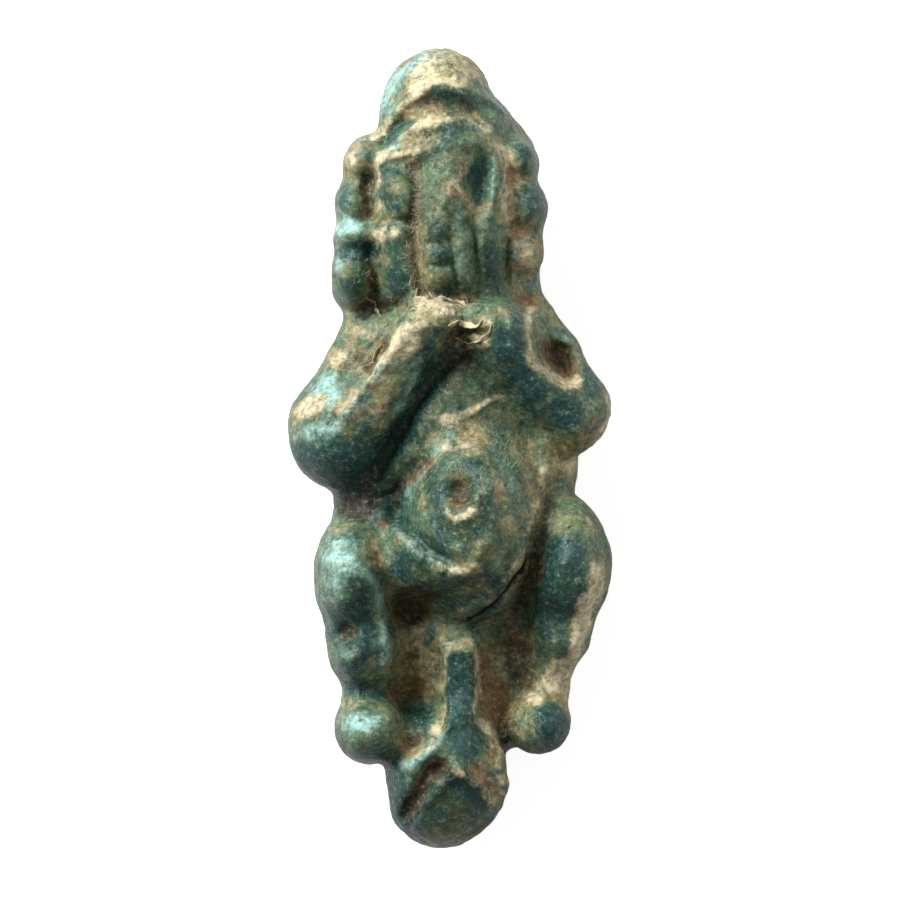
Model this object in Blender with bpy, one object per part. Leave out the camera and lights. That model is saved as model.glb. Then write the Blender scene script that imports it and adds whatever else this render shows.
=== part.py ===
"""A glazed composition amulet: a squat figure with a capped head and side locks, both forearms raised
to the chest, a round belly with a large navel, short bent legs, and between them a shaft that ends in
a large rounded tip, which is also the foot of the amulet.

The piece was pressed in a mould and glazed all over, so it is one solid. It lies on its back: +Z is up,
towards whoever looks at its front, +Y is the head, +X is the right of the front view. The origin is
under the middle of the back.

The figure is laid out in modules, 32 to the whole length. Its forms are smooth lumps that run into
each other. The carving on the front is a second layer: soft strokes and hollows laid out as heights on
a flat sheet. A ball is then drawn in onto that figure, row by row from the cap to the tip, which gives
one closed skin.
"""
import bmesh
import bpy
import numpy as np

# Sizes of the real piece, in metres.
LENGTH = 0.032
WIDTH = 0.01296
DEPTH = 0.0088
CORD_HOLE = 0.0015  # the bore for the cord, across the neck from side to side
CORD_HOLE_ALONG = 0.0076  # from the middle of the length towards the head
CORD_HOLE_DEEP = 0.0023  # from the back to the bore's axis

# The layout, in modules.
FLAT_BACK = 0.0  # where the back is rubbed flat
BACK_ARRIS = 0.5  # how softly the flat meets the rounded back
MIDDLE = 3.3  # height of the middle plane of the figure
FRONT = 1.2  # the carving starts here and is at full depth FRONT_FADE above it
FRONT_FADE = 2.6
LIMB_BLEND = 0.8  # how softly arms and legs run into the body
LOCK_BLEND = 0.6

# Half sizes of the main lumps, in modules: across, along and up.
TORSO = (4.35, 6.4, 3.5)
HEAD = (3.55, 5.0, 3.8)
CAP = (2.4, 2.85, 3.1)
ELBOW = (2.03, 2.15, 2.85)
BELLY = (2.75, 4.1, 3.7)
FOOT = (1.45, 1.42, 2.5)
TIP = (2.3, 2.87, 2.8)

ROWS = 82
COLUMNS = 59
BACK_SHARE = 0.4  # how closely the columns lie on the back, with 1 for the front

SHEET_STEP = 0.05  # pitch of the flat sheet of carving
SHEET_X = np.arange(-7.6, 7.6, SHEET_STEP)
SHEET_Y = np.arange(-16.8, 16.8, SHEET_STEP)


def smooth(t):
    """0 below 0, 1 above 1, with an S curve between."""
    t = np.clip(t, 0, 1)
    return t * t * (3 - 2 * t)


def ellipsoid(p, centre, radii, turn=0.0):
    """Distance from an ellipsoid, near enough; turn is its angle in the XY plane in degrees."""
    x, y, z = (p[i] - centre[i] for i in range(3))
    c, s = np.cos(np.radians(turn)), np.sin(np.radians(turn))
    x, y = c * x + s * y, c * y - s * x
    a, b, c = radii
    k0 = np.sqrt((x / a) ** 2 + (y / b) ** 2 + (z / c) ** 2) + 1e-9
    k1 = np.sqrt((x / a**2) ** 2 + (y / b**2) ** 2 + (z / c**2) ** 2) + 1e-9
    return k0 * (k0 - 1) / k1


def limb(p, start, end, r0, r1):
    """Distance from a round limb that runs from start to end and changes its radius from r0 to r1."""
    run = [end[i] - start[i] for i in range(3)]
    off = [p[i] - start[i] for i in range(3)]
    t = sum(off[i] * run[i] for i in range(3)) / sum(d * d for d in run)
    t = np.clip(t, 0, 1)
    far = np.sqrt(sum((off[i] - t * run[i]) ** 2 for i in range(3)) + 1e-12)
    return far - (r0 + t * (r1 - r0))


def join(f, g, blend):
    """The union of two forms, with a fillet about as wide as blend."""
    h = np.clip(0.5 + 0.5 * (g - f) / blend, 0, 1)
    return g * (1 - h) + f * h - blend * h * (1 - h)


def noise(p, size, seed):
    """Smooth random values from -1 to 1: one value at each corner of a lattice of that size, eased between."""
    table = np.random.default_rng(seed).uniform(-1, 1, 4096)
    q = np.stack([c / size for c in p])
    cell = np.floor(q).astype(np.int64)
    part = smooth(q - cell)
    total = 0.0
    for corner in range(8):
        step = [(corner >> axis) & 1 for axis in range(3)]
        key = 73856093 * (cell[0] + step[0]) ^ 19349663 * (cell[1] + step[1]) ^ 83492791 * (cell[2] + step[2])
        share = 1.0
        for axis in range(3):
            share = share * (part[axis] if step[axis] else 1 - part[axis])
        total = total + share * table[(key >> 3) & 4095]
    return total


def curve(points, pieces=7):
    """Points along a smooth curve through the given ones: each stretch is a cubic whose end slopes follow
    the chord between its neighbours."""
    k = np.array(points, dtype=float)
    if len(k) < 3:
        return k
    k = np.vstack([2 * k[0] - k[1], k, 2 * k[-1] - k[-2]])
    t = np.linspace(0, 1, pieces, endpoint=False)[None, :, None]
    a, b, c, d = (k[i:len(k) - 3 + i, None, :] for i in range(4))
    bend = (2 * b + (c - a) * t + (2 * a - 5 * b + 4 * c - d) * t**2 + (3 * b - a - 3 * c + d) * t**3) / 2
    return np.vstack([bend.reshape(-1, k.shape[1]), k[-2]])


def patch(low, high):
    """The part of the sheet between two corners, as slices, with the x and y of its points."""
    i0, i1 = np.searchsorted(SHEET_Y, (low[1], high[1]))
    j0, j1 = np.searchsorted(SHEET_X, (low[0], high[0]))
    x, y = np.meshgrid(SHEET_X[j0:j1], SHEET_Y[i0:i1])
    return (slice(i0, i1), slice(j0, j1)), x, y


def new_sheet(value=0.0):
    """A flat sheet over the whole front, at one value."""
    return np.full((len(SHEET_Y), len(SHEET_X)), float(value))


def line(sheet, amount, width, *points):
    """Adds amount times exp(-(distance / width)^2) along a smooth curve through the points."""
    way = curve(points)
    where, x, y = patch(way.min(0) - 2.7 * width, way.max(0) + 2.7 * width)
    near = np.full_like(x, 99.0)
    for (x0, y0), (x1, y1) in zip(way[:-1], way[1:]):
        dx, dy = x1 - x0, y1 - y0
        t = np.clip(((x - x0) * dx + (y - y0) * dy) / (dx * dx + dy * dy), 0, 1)
        near = np.minimum(near, np.hypot(x - x0 - t * dx, y - y0 - t * dy))
    sheet[where] += amount * np.exp(-((near / width) ** 2))


def dab(sheet, amount, centre, radii, turn=0.0, power=2.0):
    """Adds amount times exp(-r^power), with r measured in an oval; a larger power gives a flatter top."""
    reach = 2.7 * max(radii)
    where, x, y = patch((centre[0] - reach, centre[1] - reach), (centre[0] + reach, centre[1] + reach))
    c, s = np.cos(np.radians(turn)), np.sin(np.radians(turn))
    u, v = x - centre[0], y - centre[1]
    u, v = c * u + s * v, c * v - s * u
    sheet[where] += amount * np.exp(-(((u / radii[0]) ** 2 + (v / radii[1]) ** 2) ** (power / 2)))


def read_sheet(sheet, x, y):
    """The sheet's value at any x and y, by weighing its four nearest points."""
    u = np.clip((x - SHEET_X[0]) / SHEET_STEP, 0, len(SHEET_X) - 1.001)
    v = np.clip((y - SHEET_Y[0]) / SHEET_STEP, 0, len(SHEET_Y) - 1.001)
    j, i = u.astype(int), v.astype(int)
    u, v = u - j, v - i
    top = sheet[i, j] * (1 - u) + sheet[i, j + 1] * u
    return top * (1 - v) + (sheet[i + 1, j] * (1 - u) + sheet[i + 1, j + 1] * u) * v


def inside(distance, soft):
    """1 where distance is positive and 0 where it is negative, over a band as wide as soft."""
    return smooth(distance / soft + 0.5)


def roof(x, y, apex, left, right, soft):
    """1 under a pitched roof; left and right are how far its slopes run out for each module of drop."""
    drop = apex[1] - y
    return inside(x - apex[0] + left * drop, soft) * inside(apex[0] + right * drop - x, soft)


def torso(f, p):
    """The core of the body, from the shoulders to the feet, with both flanks."""
    f = ellipsoid(p, (0.0, 2.8, 2.75), TORSO)
    f = join(f, ellipsoid(p, (0.2, -6.0, 1.8), (4.85, 6.9, 2.6)), 0.8)
    f = join(f, ellipsoid(p, (-3.05, -2.0, 2.4), (1.75, 2.4, 2.6)), 0.7)
    return join(f, ellipsoid(p, (3.45, -0.75, 2.4), (1.75, 2.2, 2.6)), 0.7)


def head(f, p):
    """Head, hair and cap, with a rope of beads as a lock down each side."""
    f = join(f, ellipsoid(p, (-0.35, 9.2, 3.4), HEAD), 0.6)
    f = join(f, ellipsoid(p, (0.1, 10.9, 3.4), (3.05, 3.8, 3.5)), 0.5)
    f = join(f, ellipsoid(p, (-0.52, 13.15, 3.3), CAP), 0.4)
    f = join(f, ellipsoid(p, (-0.4, 8.8, 2.55), (3.95, 4.3, 2.7)), 0.6)
    f = join(f, limb(p, (-3.3, 11.5, 3.1), (-3.7, 6.4, 3.1), 0.98, 1.1), LOCK_BLEND)
    f = join(f, limb(p, (2.35, 11.9, 3.2), (2.6, 6.9, 3.2), 1.0, 0.95), LOCK_BLEND)
    left = (-3.4, 11.4, 1.0), (-3.76, 9.7, 1.0), (-3.82, 8.35, 0.8), (-3.87, 7.0, 1.25)
    right = (2.62, 11.4, 0.95), (3.0, 9.45, 1.15), (2.82, 7.9, 1.0)
    for x, y, tall in left + right:
        f = join(f, ellipsoid(p, (x, y, 4.1), (0.95, tall, 1.75)), 0.5)
    return f


def arms(f, p):
    """Two bent arms: the elbows stand out at the sides and the hands meet under the face."""
    f = join(f, limb(p, (-3.3, 4.4, 3.3), (-4.55, 1.2, 3.5), 1.2, 1.78), LIMB_BLEND)
    f = join(f, ellipsoid(p, (-4.5, 0.5, 3.7), ELBOW), LIMB_BLEND)
    f = join(f, limb(p, (-4.05, 0.5, 4.9), (-1.35, 4.45, 6.5), 1.45, 1.05), 0.4)
    f = join(f, ellipsoid(p, (-0.85, 4.9, 6.4), (1.35, 0.9, 1.4), 30), 0.4)
    f = join(f, limb(p, (3.05, 4.7, 3.8), (4.6, 1.65, 3.8), 1.4, 1.78), LIMB_BLEND)
    f = join(f, ellipsoid(p, (3.85, 3.65, 3.8), (1.5, 1.3, 1.7)), 0.4)
    f = join(f, limb(p, (4.75, 1.5, 4.5), (2.3, 4.0, 5.9), 1.5, 1.35), LIMB_BLEND)
    return join(f, ellipsoid(p, (1.75, 4.85, 6.2), (1.25, 1.15, 1.4), -25), LIMB_BLEND)


def belly(f, p):
    """A pear-shaped belly, pointed at the top, with a lower lobe to the left."""
    f = join(f, ellipsoid(p, (0.95, -2.8, 4.0), BELLY), 0.4)
    f = join(f, limb(p, (0.15, 0.35, 5.0), (0.5, -1.5, 4.7), 0.75, 2.1), 0.5)
    return join(f, ellipsoid(p, (-0.55, -4.3, 4.1), (2.35, 2.25, 2.75), -12), 0.45)


def legs(f, p):
    """Two short bent legs that end in round feet."""
    f = join(f, ellipsoid(p, (-4.0, -5.15, 3.9), (1.58, 2.35, 3.0), 3), LIMB_BLEND)
    f = join(f, limb(p, (-3.6, -4.6, 4.1), (-3.45, -8.3, 3.9), 1.5, 1.2), LIMB_BLEND)
    f = join(f, ellipsoid(p, (-3.65, -8.05, 4.0), (1.25, 1.5, 2.35)), LIMB_BLEND)
    f = join(f, ellipsoid(p, (-3.45, -9.75, 3.2), (0.95, 1.0, 2.0)), 0.5)
    f = join(f, ellipsoid(p, (-3.27, -11.2, 3.8), FOOT), LOCK_BLEND)
    f = join(f, ellipsoid(p, (4.78, -4.55, 3.8), (1.72, 2.6, 2.8)), LIMB_BLEND)
    f = join(f, limb(p, (4.7, -5.2, 3.9), (3.95, -9.6, 3.3), 1.4, 0.85), LIMB_BLEND)
    f = join(f, ellipsoid(p, (4.55, -7.4, 3.4), (1.18, 1.3, 2.0)), 0.5)
    f = join(f, ellipsoid(p, (3.8, -11.0, 3.5), (1.02, 1.12, 2.2)), 0.5)
    return join(f, ellipsoid(p, (3.35, -10.95, 2.8), (1.3, 1.12, 2.0)), 0.6)


def tip(f, p):
    """The large rounded end between the feet."""
    f = join(f, limb(p, (0.35, -11.0, 3.0), (-0.05, -13.0, 3.1), 1.3, 2.3), LIMB_BLEND)
    f = join(f, ellipsoid(p, (-0.18, -13.1, 3.2), TIP), LIMB_BLEND)
    return join(f, ellipsoid(p, (-0.6, -14.25, 3.2), (1.85, 1.7, 2.4)), 0.3)


def head_carving(h):
    """Cap band, hairline, brows, eye sockets, nose, cheeks, the lobes under the face, the locks' gaps."""
    line(h, 0.30, 0.34, (-0.9, 14.3), (0.2, 14.3), (1.2, 14.1), (2.1, 13.6))
    line(h, 0.24, 0.28, (-0.9, 14.3), (-1.8, 13.7), (-2.5, 13.0), (-2.95, 12.4))
    line(h, -0.24, 0.24, (-2.2, 12.9), (-1.4, 13.45), (-0.4, 13.62), (0.5, 13.5), (1.3, 13.2))
    line(h, -0.30, 0.20, (-2.75, 12.1), (-2.35, 12.55), (-1.9, 12.9))
    line(h, 0.10, 0.13, (-1.7, 13.1), (-0.8, 13.12), (0.1, 13.05), (1.0, 12.9))
    line(h, 0.26, 0.26, (-2.95, 11.2), (-2.4, 11.95), (-1.6, 12.5), (-0.7, 12.75), (0.2, 12.7))
    dab(h, 0.24, (0.4, 12.2), (0.9, 0.6))
    dab(h, -0.12, (-0.55, 12.15), (0.3, 0.25))
    line(h, 0.22, 0.2, (-2.85, 10.9), (-2.6, 11.35), (-2.0, 11.5), (-1.3, 11.55))
    dab(h, -0.42, (-1.45, 10.95), (0.62, 0.42), 12)
    dab(h, -0.30, (-1.2, 10.3), (0.35, 0.6))
    dab(h, 0.42, (-2.3, 9.95), (0.62, 0.95), 8)
    dab(h, -0.14, (-2.25, 9.75), (0.16, 0.2))
    dab(h, 0.12, (-2.35, 10.65), (0.36, 0.22))
    line(h, -0.26, 0.16, (-2.5, 9.0), (-2.0, 8.95), (-1.6, 8.95))
    line(h, -0.34, 0.26, (-1.45, 10.6), (-1.35, 9.6), (-1.35, 8.7), (-1.35, 7.9), (-1.2, 6.2))
    line(h, -0.50, 0.42, (-3.15, 10.9), (-3.2, 10.2), (-3.1, 9.35))
    dab(h, 0.16, (-3.6, 10.6), (0.3, 0.26), 20)
    dab(h, 0.26, (-2.35, 8.35), (0.62, 0.4), -10)
    dab(h, 0.34, (-2.3, 7.2), (0.62, 1.0), 6, 2.4)
    dab(h, -0.12, (-2.3, 7.0), (0.24, 0.55), 6)
    line(h, -0.36, 0.22, (-3.15, 7.9), (-3.05, 7.1), (-2.95, 6.3), (-2.7, 5.7))
    line(h, 0.36, 0.5, (-0.1, 11.7), (-0.05, 10.6), (-0.05, 9.6))
    dab(h, 0.16, (-0.25, 9.5), (0.5, 0.45))
    line(h, 0.16, 0.11, (0.05, 10.35), (0.35, 10.0), (0.62, 9.55))
    dab(h, -0.12, (-0.55, 11.35), (0.3, 0.25))
    dab(h, 0.26, (-0.45, 8.4), (0.5, 0.55), 0, 2.2)
    dab(h, 0.24, (-0.4, 7.5), (0.5, 0.4), 10, 2.2)
    dab(h, 0.32, (-0.45, 6.6), (0.55, 0.5), -10, 2.2)
    line(h, -0.12, 0.13, (-0.85, 8.0), (-0.45, 7.95), (-0.1, 8.1))
    line(h, -0.12, 0.12, (-0.8, 7.1), (-0.4, 7.05), (0.0, 7.2))
    line(h, 0.22, 0.3, (0.5, 8.9), (0.48, 8.0), (0.55, 7.0), (0.6, 6.2))
    dab(h, -0.1, (0.5, 7.7), (0.2, 0.2))
    line(h, -0.14, 0.13, (0.1, 9.0), (0.08, 8.0), (0.15, 7.0), (0.2, 6.2))
    dab(h, -0.56, (1.1, 10.55), (0.42, 1.0), -6, 2.4)
    dab(h, -0.14, (1.25, 9.7), (0.3, 0.4))
    line(h, 0.24, 0.28, (0.7, 12.0), (1.3, 12.0), (1.75, 11.4), (1.8, 10.5), (1.7, 9.7), (1.6, 9.1))
    dab(h, -0.1, (1.45, 10.6), (0.14, 0.3), 20)
    line(h, -0.30, 0.32, (2.2, 12.4), (2.35, 11.4), (2.4, 10.5), (2.35, 9.6), (2.5, 8.9))
    dab(h, -0.14, (2.5, 10.8), (0.3, 0.35))
    dab(h, -0.14, (2.3, 9.4), (0.3, 0.3))
    dab(h, -0.26, (2.95, 8.5), (0.34, 0.22), -20)
    dab(h, -0.24, (3.0, 10.65), (0.34, 0.2), -15)
    dab(h, 0.3, (1.5, 8.3), (0.5, 0.8), 4, 2.4)
    dab(h, 0.28, (1.65, 7.0), (0.45, 0.85), 0, 2.4)
    line(h, 0.20, 0.17, (2.15, 9.0), (2.5, 8.4), (2.62, 7.6), (2.6, 6.9), (2.4, 6.2))
    line(h, -0.26, 0.16, (1.0, 9.0), (0.95, 8.2), (1.05, 7.2), (1.15, 6.3))
    line(h, -0.16, 0.14, (2.2, 8.2), (2.25, 7.4), (2.15, 6.6))
    dab(h, -0.60, (-3.25, 5.5), (0.75, 0.45), 12)
    dab(h, -0.24, (3.0, 5.85), (0.45, 0.3))
    line(h, -0.44, 0.2, (-2.8, 5.45), (-2.0, 5.8), (-1.1, 5.95), (-0.2, 5.8), (0.8, 5.9), (2.4, 5.95))


def arm_carving(h):
    """The left forearm's crest, the elbows' folds, the pit in the right arm and the slit between the hands."""
    line(h, 0.3, 0.3, (-4.25, 1.45), (-3.4, 2.55), (-2.6, 3.5), (-1.9, 4.3), (-1.1, 4.95))
    line(h, -0.34, 0.17, (-4.5, 1.3), (-4.15, 1.95), (-3.7, 2.6), (-3.3, 3.1))
    line(h, -0.9, 0.21, (-3.35, 3.1), (-2.98, 3.65), (-2.68, 4.15))
    dab(h, -0.3, (-3.8, 3.45), (0.65, 0.45), 20)
    dab(h, 0.12, (-4.6, 3.25), (0.4, 0.25), 30)
    dab(h, -1.6, (4.28, 3.5), (1.12, 0.62), -49, 3)
    line(h, 0.18, 0.24, (3.3, 4.7), (3.35, 3.6), (4.0, 2.75), (4.9, 2.25))
    line(h, -0.70, 0.40, (-0.45, 3.3), (-1.4, 1.95), (-2.4, 0.45), (-3.1, -0.8))
    line(h, -0.42, 0.4, (0.9, 3.7), (1.9, 2.3), (3.1, 1.1), (4.4, 0.2))
    line(h, -0.85, 0.27, (0.25, 4.5), (0.7, 4.4), (1.3, 4.42))
    dab(h, -0.3, (0.6, 4.15), (0.4, 0.2), -15)
    line(h, 0.22, 0.14, (0.1, 4.9), (0.5, 4.98), (1.0, 4.9), (1.45, 4.85))
    line(h, 0.2, 0.14, (0.2, 4.15), (0.8, 4.0), (1.3, 4.1))
    dab(h, 0.12, (2.5, 4.9), (0.4, 0.5))
    line(h, -0.16, 0.16, (1.75, 5.4), (2.15, 4.9), (2.2, 4.2))
    dab(h, 0.14, (-1.35, 4.05), (0.4, 0.45), 30)
    line(h, 0.14, 0.12, (0.35, 1.35), (0.9, 1.42), (1.5, 1.75), (2.1, 2.15))


def belly_carving(h):
    """The disc round the navel, the navel and its lip, the fold below, and the belly's rim with its crack."""
    where, x, y = patch((-3, -6), (4, 2))
    turn = np.arctan2(y + 2.2, x - 0.35)
    from_navel = np.hypot((x - 0.35) / 1.55, (y + 2.2) / 2.2)
    from_navel = from_navel * (1 + 0.05 * np.sin(3 * turn + 1) + 0.04 * np.sin(5 * turn))
    h[where] += 0.34 * inside(1 - from_navel, 0.34)
    h[where] += 0.1 * np.exp(-(((from_navel - 0.86) / 0.13) ** 2)) * (1 - 0.6 * np.cos(turn + 0.5))
    dab(h, -0.62, (0.42, -1.8), (0.55, 0.6), 10)
    line(h, 0.12, 0.25, (-0.2, -2.55), (0.2, -2.75), (0.6, -2.75), (0.95, -2.5))
    line(h, 0.22, 0.3, (0.0, 0.6), (-0.9, -0.5), (-1.6, -1.5), (-1.95, -2.2))
    line(h, -0.3, 0.3, (-1.1, -0.6), (-1.7, -1.0), (-2.3, -1.7), (-3.1, -2.2))
    line(h, 0.46, 0.3, (-2.75, -2.8), (-1.7, -3.7), (-0.8, -4.5), (0.2, -4.95), (1.0, -4.6), (1.5, -3.9))
    line(h, -0.32, 0.26, (-2.3, -2.5), (-1.55, -3.3), (-0.9, -3.95), (-0.1, -4.35))
    line(h, 0.26, 0.2, (3.75, -0.8), (3.62, -1.9), (3.25, -3.2), (2.5, -4.8), (1.4, -5.95), (0.2, -6.6))
    line(h, -0.55, 0.13, (2.95, -4.3), (2.55, -5.05), (1.9, -5.9), (1.1, -6.5), (0.0, -6.95), (-0.8, -6.95))
    dab(h, -1.15, (-1.5, -6.3), (1.05, 0.66), 6, 2.6)
    dab(h, -0.55, (3.6, -4.3), (0.5, 1.6), -20)
    dab(h, -0.3, (-3.7, -2.0), (0.8, 0.5))


def leg_carving(h):
    """The left knee's dimple, the shins' inner edges, the ankles, and the shaft with the hollows beside it."""
    dab(h, -0.72, (-4.12, -7.35), (0.42, 0.4))
    dab(h, 0.2, (-4.15, -8.05), (0.5, 0.3))
    line(h, 0.3, 0.24, (-3.35, -4.9), (-2.85, -6.2), (-2.55, -7.6), (-2.65, -8.8))
    line(h, -0.22, 0.28, (-3.6, -6.2), (-3.35, -7.4), (-3.2, -8.6))
    line(h, -0.42, 0.28, (-4.4, -9.45), (-3.5, -9.72), (-2.8, -9.7))
    line(h, 0.2, 0.3, (3.55, -6.9), (4.0, -7.9), (4.3, -8.6))
    line(h, 0.16, 0.24, (5.7, -5.2), (5.35, -6.6), (4.85, -8.4))
    dab(h, -0.3, (3.3, -8.9), (0.5, 0.9), 15)
    dab(h, -0.45, (-1.3, -9.1), (0.9, 1.9), 0, 4)
    dab(h, -0.45, (2.1, -9.0), (0.85, 2.0), 15, 4)
    dab(h, -0.3, (-2.35, -9.75), (0.3, 0.3))
    dab(h, 0.3, (-1.15, -10.85), (0.42, 0.42))
    dab(h, -0.35, (-1.4, -11.55), (0.4, 0.3), 30)
    dab(h, -0.3, (-0.65, -11.4), (0.13, 0.13))
    where, x, y = patch((-2, -13), (3, -6))
    across = inside(x + 0.28 + 0.03 * np.sin(3 * y), 0.34) * inside(1.02 - x, 0.34)
    along = inside(y + 10.9, 1.0) * inside(-7.9 - y, 0.4)
    h[where] += 0.95 * across * along
    line(h, 0.42, 0.28, (-0.3, -7.85), (0.4, -7.75), (1.15, -7.8))


def tip_carving(h):
    """The flared hood over the rounded end, and the end's two edges that run up to a point under it."""
    where, x, y = patch((-4, -16.5), (4, -10))
    hood = roof(x, y, (0.35, -10.5), 1.15, 0.95, 0.45)
    dome = roof(x, y, (0.2, -12.75), 0.87, 1.05, 0.4)
    h[where] += 0.5 * hood * (1 - dome)
    line(h, 0.32, 0.26, (-0.2, -11.15), (-0.8, -11.7), (-1.5, -12.2), (-2.1, -12.6))
    line(h, 0.25, 0.22, (1.05, -10.9), (1.55, -11.35), (1.95, -12.1), (2.1, -12.9))
    line(h, -1.0, 0.33, (-0.45, -12.65), (-1.0, -13.25), (-1.5, -14.0), (-1.85, -14.7))
    line(h, -0.45, 0.3, (1.0, -12.8), (1.5, -13.35), (1.95, -13.95))
    line(h, 0.3, 0.2, (-1.6, -15.0), (-1.15, -14.4), (-0.6, -13.6), (-0.15, -13.0), (0.2, -12.75))
    line(h, 0.26, 0.2, (0.2, -12.75), (0.65, -13.15), (1.2, -13.7), (1.75, -14.25))
    dab(h, 0.12, (0.5, -11.7), (0.8, 0.6))


def wandering(sheet, amount, seed):
    """The sheet with its lines made to wander, by reading it at places moved by smooth random steps."""
    x, y = np.meshgrid(SHEET_X, SHEET_Y)
    z = np.zeros_like(x)
    step_x = noise((x, y, z), 0.8, seed) + 0.45 * noise((x, y, z), 0.33, seed + 1)
    step_y = noise((x, y, z), 0.8, seed + 2) + 0.45 * noise((x, y, z), 0.33, seed + 3)
    return read_sheet(sheet, x + amount * step_x, y + amount * step_y)


def relief():
    """The carving as heights over the flat sheet."""
    h = new_sheet()
    for part in (head_carving, arm_carving, belly_carving, leg_carving, tip_carving):
        part(h)
    return wandering(h, 0.09, 60)


def figure(p, h):
    """Negative inside the figure, positive outside: all forms joined, the carved front, the flat back."""
    x, y, z = p
    q = (x, y, z - read_sheet(h, x, y) * smooth((z - FRONT) / FRONT_FADE))
    f = None
    for part in (torso, head, arms, belly, legs, tip):
        f = part(f, q)
    return -join(-f, z - FLAT_BACK, BACK_ARRIS)


def stations(t):
    """Where along the length the rows lie, from the cap (t 0) to the tip (t 1): closer together at both
    ends, under the elbows and at the feet, where the outline turns quickly."""
    y = np.linspace(15.99, -15.99, 4000)
    crowd = 1 + 0.8 / np.sqrt(16 - np.abs(y)) + 0.5 * np.exp(-((y + 1.2) ** 2))
    crowd += 0.6 * np.exp(-(((y + 11) / 2.2) ** 2))
    run = np.concatenate([[0], np.cumsum((crowd[1:] + crowd[:-1]) / 2)])
    return np.interp(t * run[-1], run, y)


def core(y):
    """Half width and centre of the strip inside the body that the rows spread from."""
    at = (-16, -15.4, -14, -12.4, -11, -9, -5, -2.5, -1, 1, 3, 5, 6.5, 9, 12.5, 14, 15.3, 16)
    half = (0, 0.6, 1.2, 1.5, 2.0, 3.0, 3.4, 3.0, 3.2, 3.9, 3.5, 3.0, 2.9, 2.7, 2.1, 1.5, 0.7, 0)
    middle = (-0.35, -0.35, -0.2, 0, 0.1, 0.15, 0.5, 0.5, -0.5, -0.1, 0.15, 0, -0.5, -0.4, -0.1, -0.3)
    middle += (-0.4, -0.4)
    return np.interp(y, at, half), np.interp(y, at, middle)


def meet(t, u, h):
    """Where the lines of rows t (0 to 1) at angles u meet the figure, as x, y and z in modules.

    A row's lines start on the strip, fan out at its ends, and lie in a plane across the body; towards the
    feet the plane's sides bend down, so that the undersides of the feet get their share of points.
    """
    y = stations(t)
    half, middle = core(y)
    bend = smooth((-5.5 - y) / 4.5)
    dx, dz = np.cos(u) ** 3, np.sin(u)
    direction = np.stack([dx, -bend * np.abs(dx) * (1 - 0.8 * np.abs(dz)), dz])
    direction = direction / np.linalg.norm(direction, axis=0)
    start = np.stack([middle + half * np.cos(u), y, np.full_like(y, MIDDLE)])
    far = np.full_like(y, 11.0)
    for step in range(110):
        far = np.clip(far - 0.38 * figure(start + far * direction, h), 0.02, 11.0)
    return start + far * direction


def beside(p):
    """The mean of each point's four neighbours; the first and last rows are single points."""
    around = (np.roll(p, 1, 2) + np.roll(p, -1, 2)) / 2
    mean = p.copy()
    mean[:, 1:-1] = 0.5 * around[:, 1:-1] + 0.25 * (p[:, 2:] + p[:, :-2])
    mean[:, 0] = p[:, 1].mean(1)[:, None]
    mean[:, -1] = p[:, -2].mean(1)[:, None]
    return mean


def settle(p, h, rounds, ease):
    """Evens the grid out and draws it back onto the figure, by turns: each point moves towards the mean of
    its neighbours, and then along the slope of the figure's distance to where that is nought."""
    reach = 0.04
    for turn in range(rounds):
        if ease:
            p = p + ease * (beside(p) - p)
        f = figure(p, h)
        slope = np.empty_like(p)
        for axis in range(3):
            aside = p.copy()
            aside[axis] += reach
            slope[axis] = (figure(aside, h) - f) / reach
        size = np.linalg.norm(slope, axis=0) + 1e-6
        p = p - slope / size * np.clip(f / np.maximum(size, 0.5), -0.3, 0.3)
    return p


def skin(h):
    """The skin as a closed grid of points, one row per station, each row going once round the figure.

    A trial pass measures the way round each row, with the back counting for less, and the columns are
    placed at equal shares of it. The grid is then evened out on the figure.
    """
    t = np.linspace(0, 1, ROWS + 1)[:, None]
    u = np.linspace(-np.pi / 2, 1.5 * np.pi, 181)[None, :]
    t, u = np.broadcast_arrays(t, u)
    trial = meet(t.copy(), u.copy(), h)
    length = np.linalg.norm(np.diff(trial, axis=2), axis=0)
    length *= BACK_SHARE + (1 - BACK_SHARE) * smooth(0.5 + 2 * np.sin(u[:, :-1]))
    for again in range(3):
        length = (length + np.roll(length, 1, 0) + np.roll(length, -1, 0)) / 3
    way = np.concatenate([np.zeros((ROWS + 1, 1)), np.cumsum(length + 0.004, axis=1)], axis=1)
    share = np.arange(COLUMNS) / COLUMNS
    p = np.array([[np.interp(share * one[-1], one, row) for one, row in zip(way, flat)] for flat in trial])
    p = settle(p, h, 24, 0.5)
    return settle(p, h, 3, 0.0)


def clear_scene():
    """Take away everything in the scene."""
    for thing in list(bpy.data.objects):
        bpy.data.objects.remove(thing, do_unlink=True)


def glaze():
    """Worn copper-blue glaze over a pale body."""
    material = bpy.data.materials.new("glaze")
    material.use_nodes = True
    shader = material.node_tree.nodes["Principled BSDF"]
    shader.inputs["Base Color"].default_value = (0.13, 0.30, 0.27, 1)
    shader.inputs["Roughness"].default_value = 0.4
    shader.inputs["Metallic"].default_value = 0.0
    return material


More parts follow.
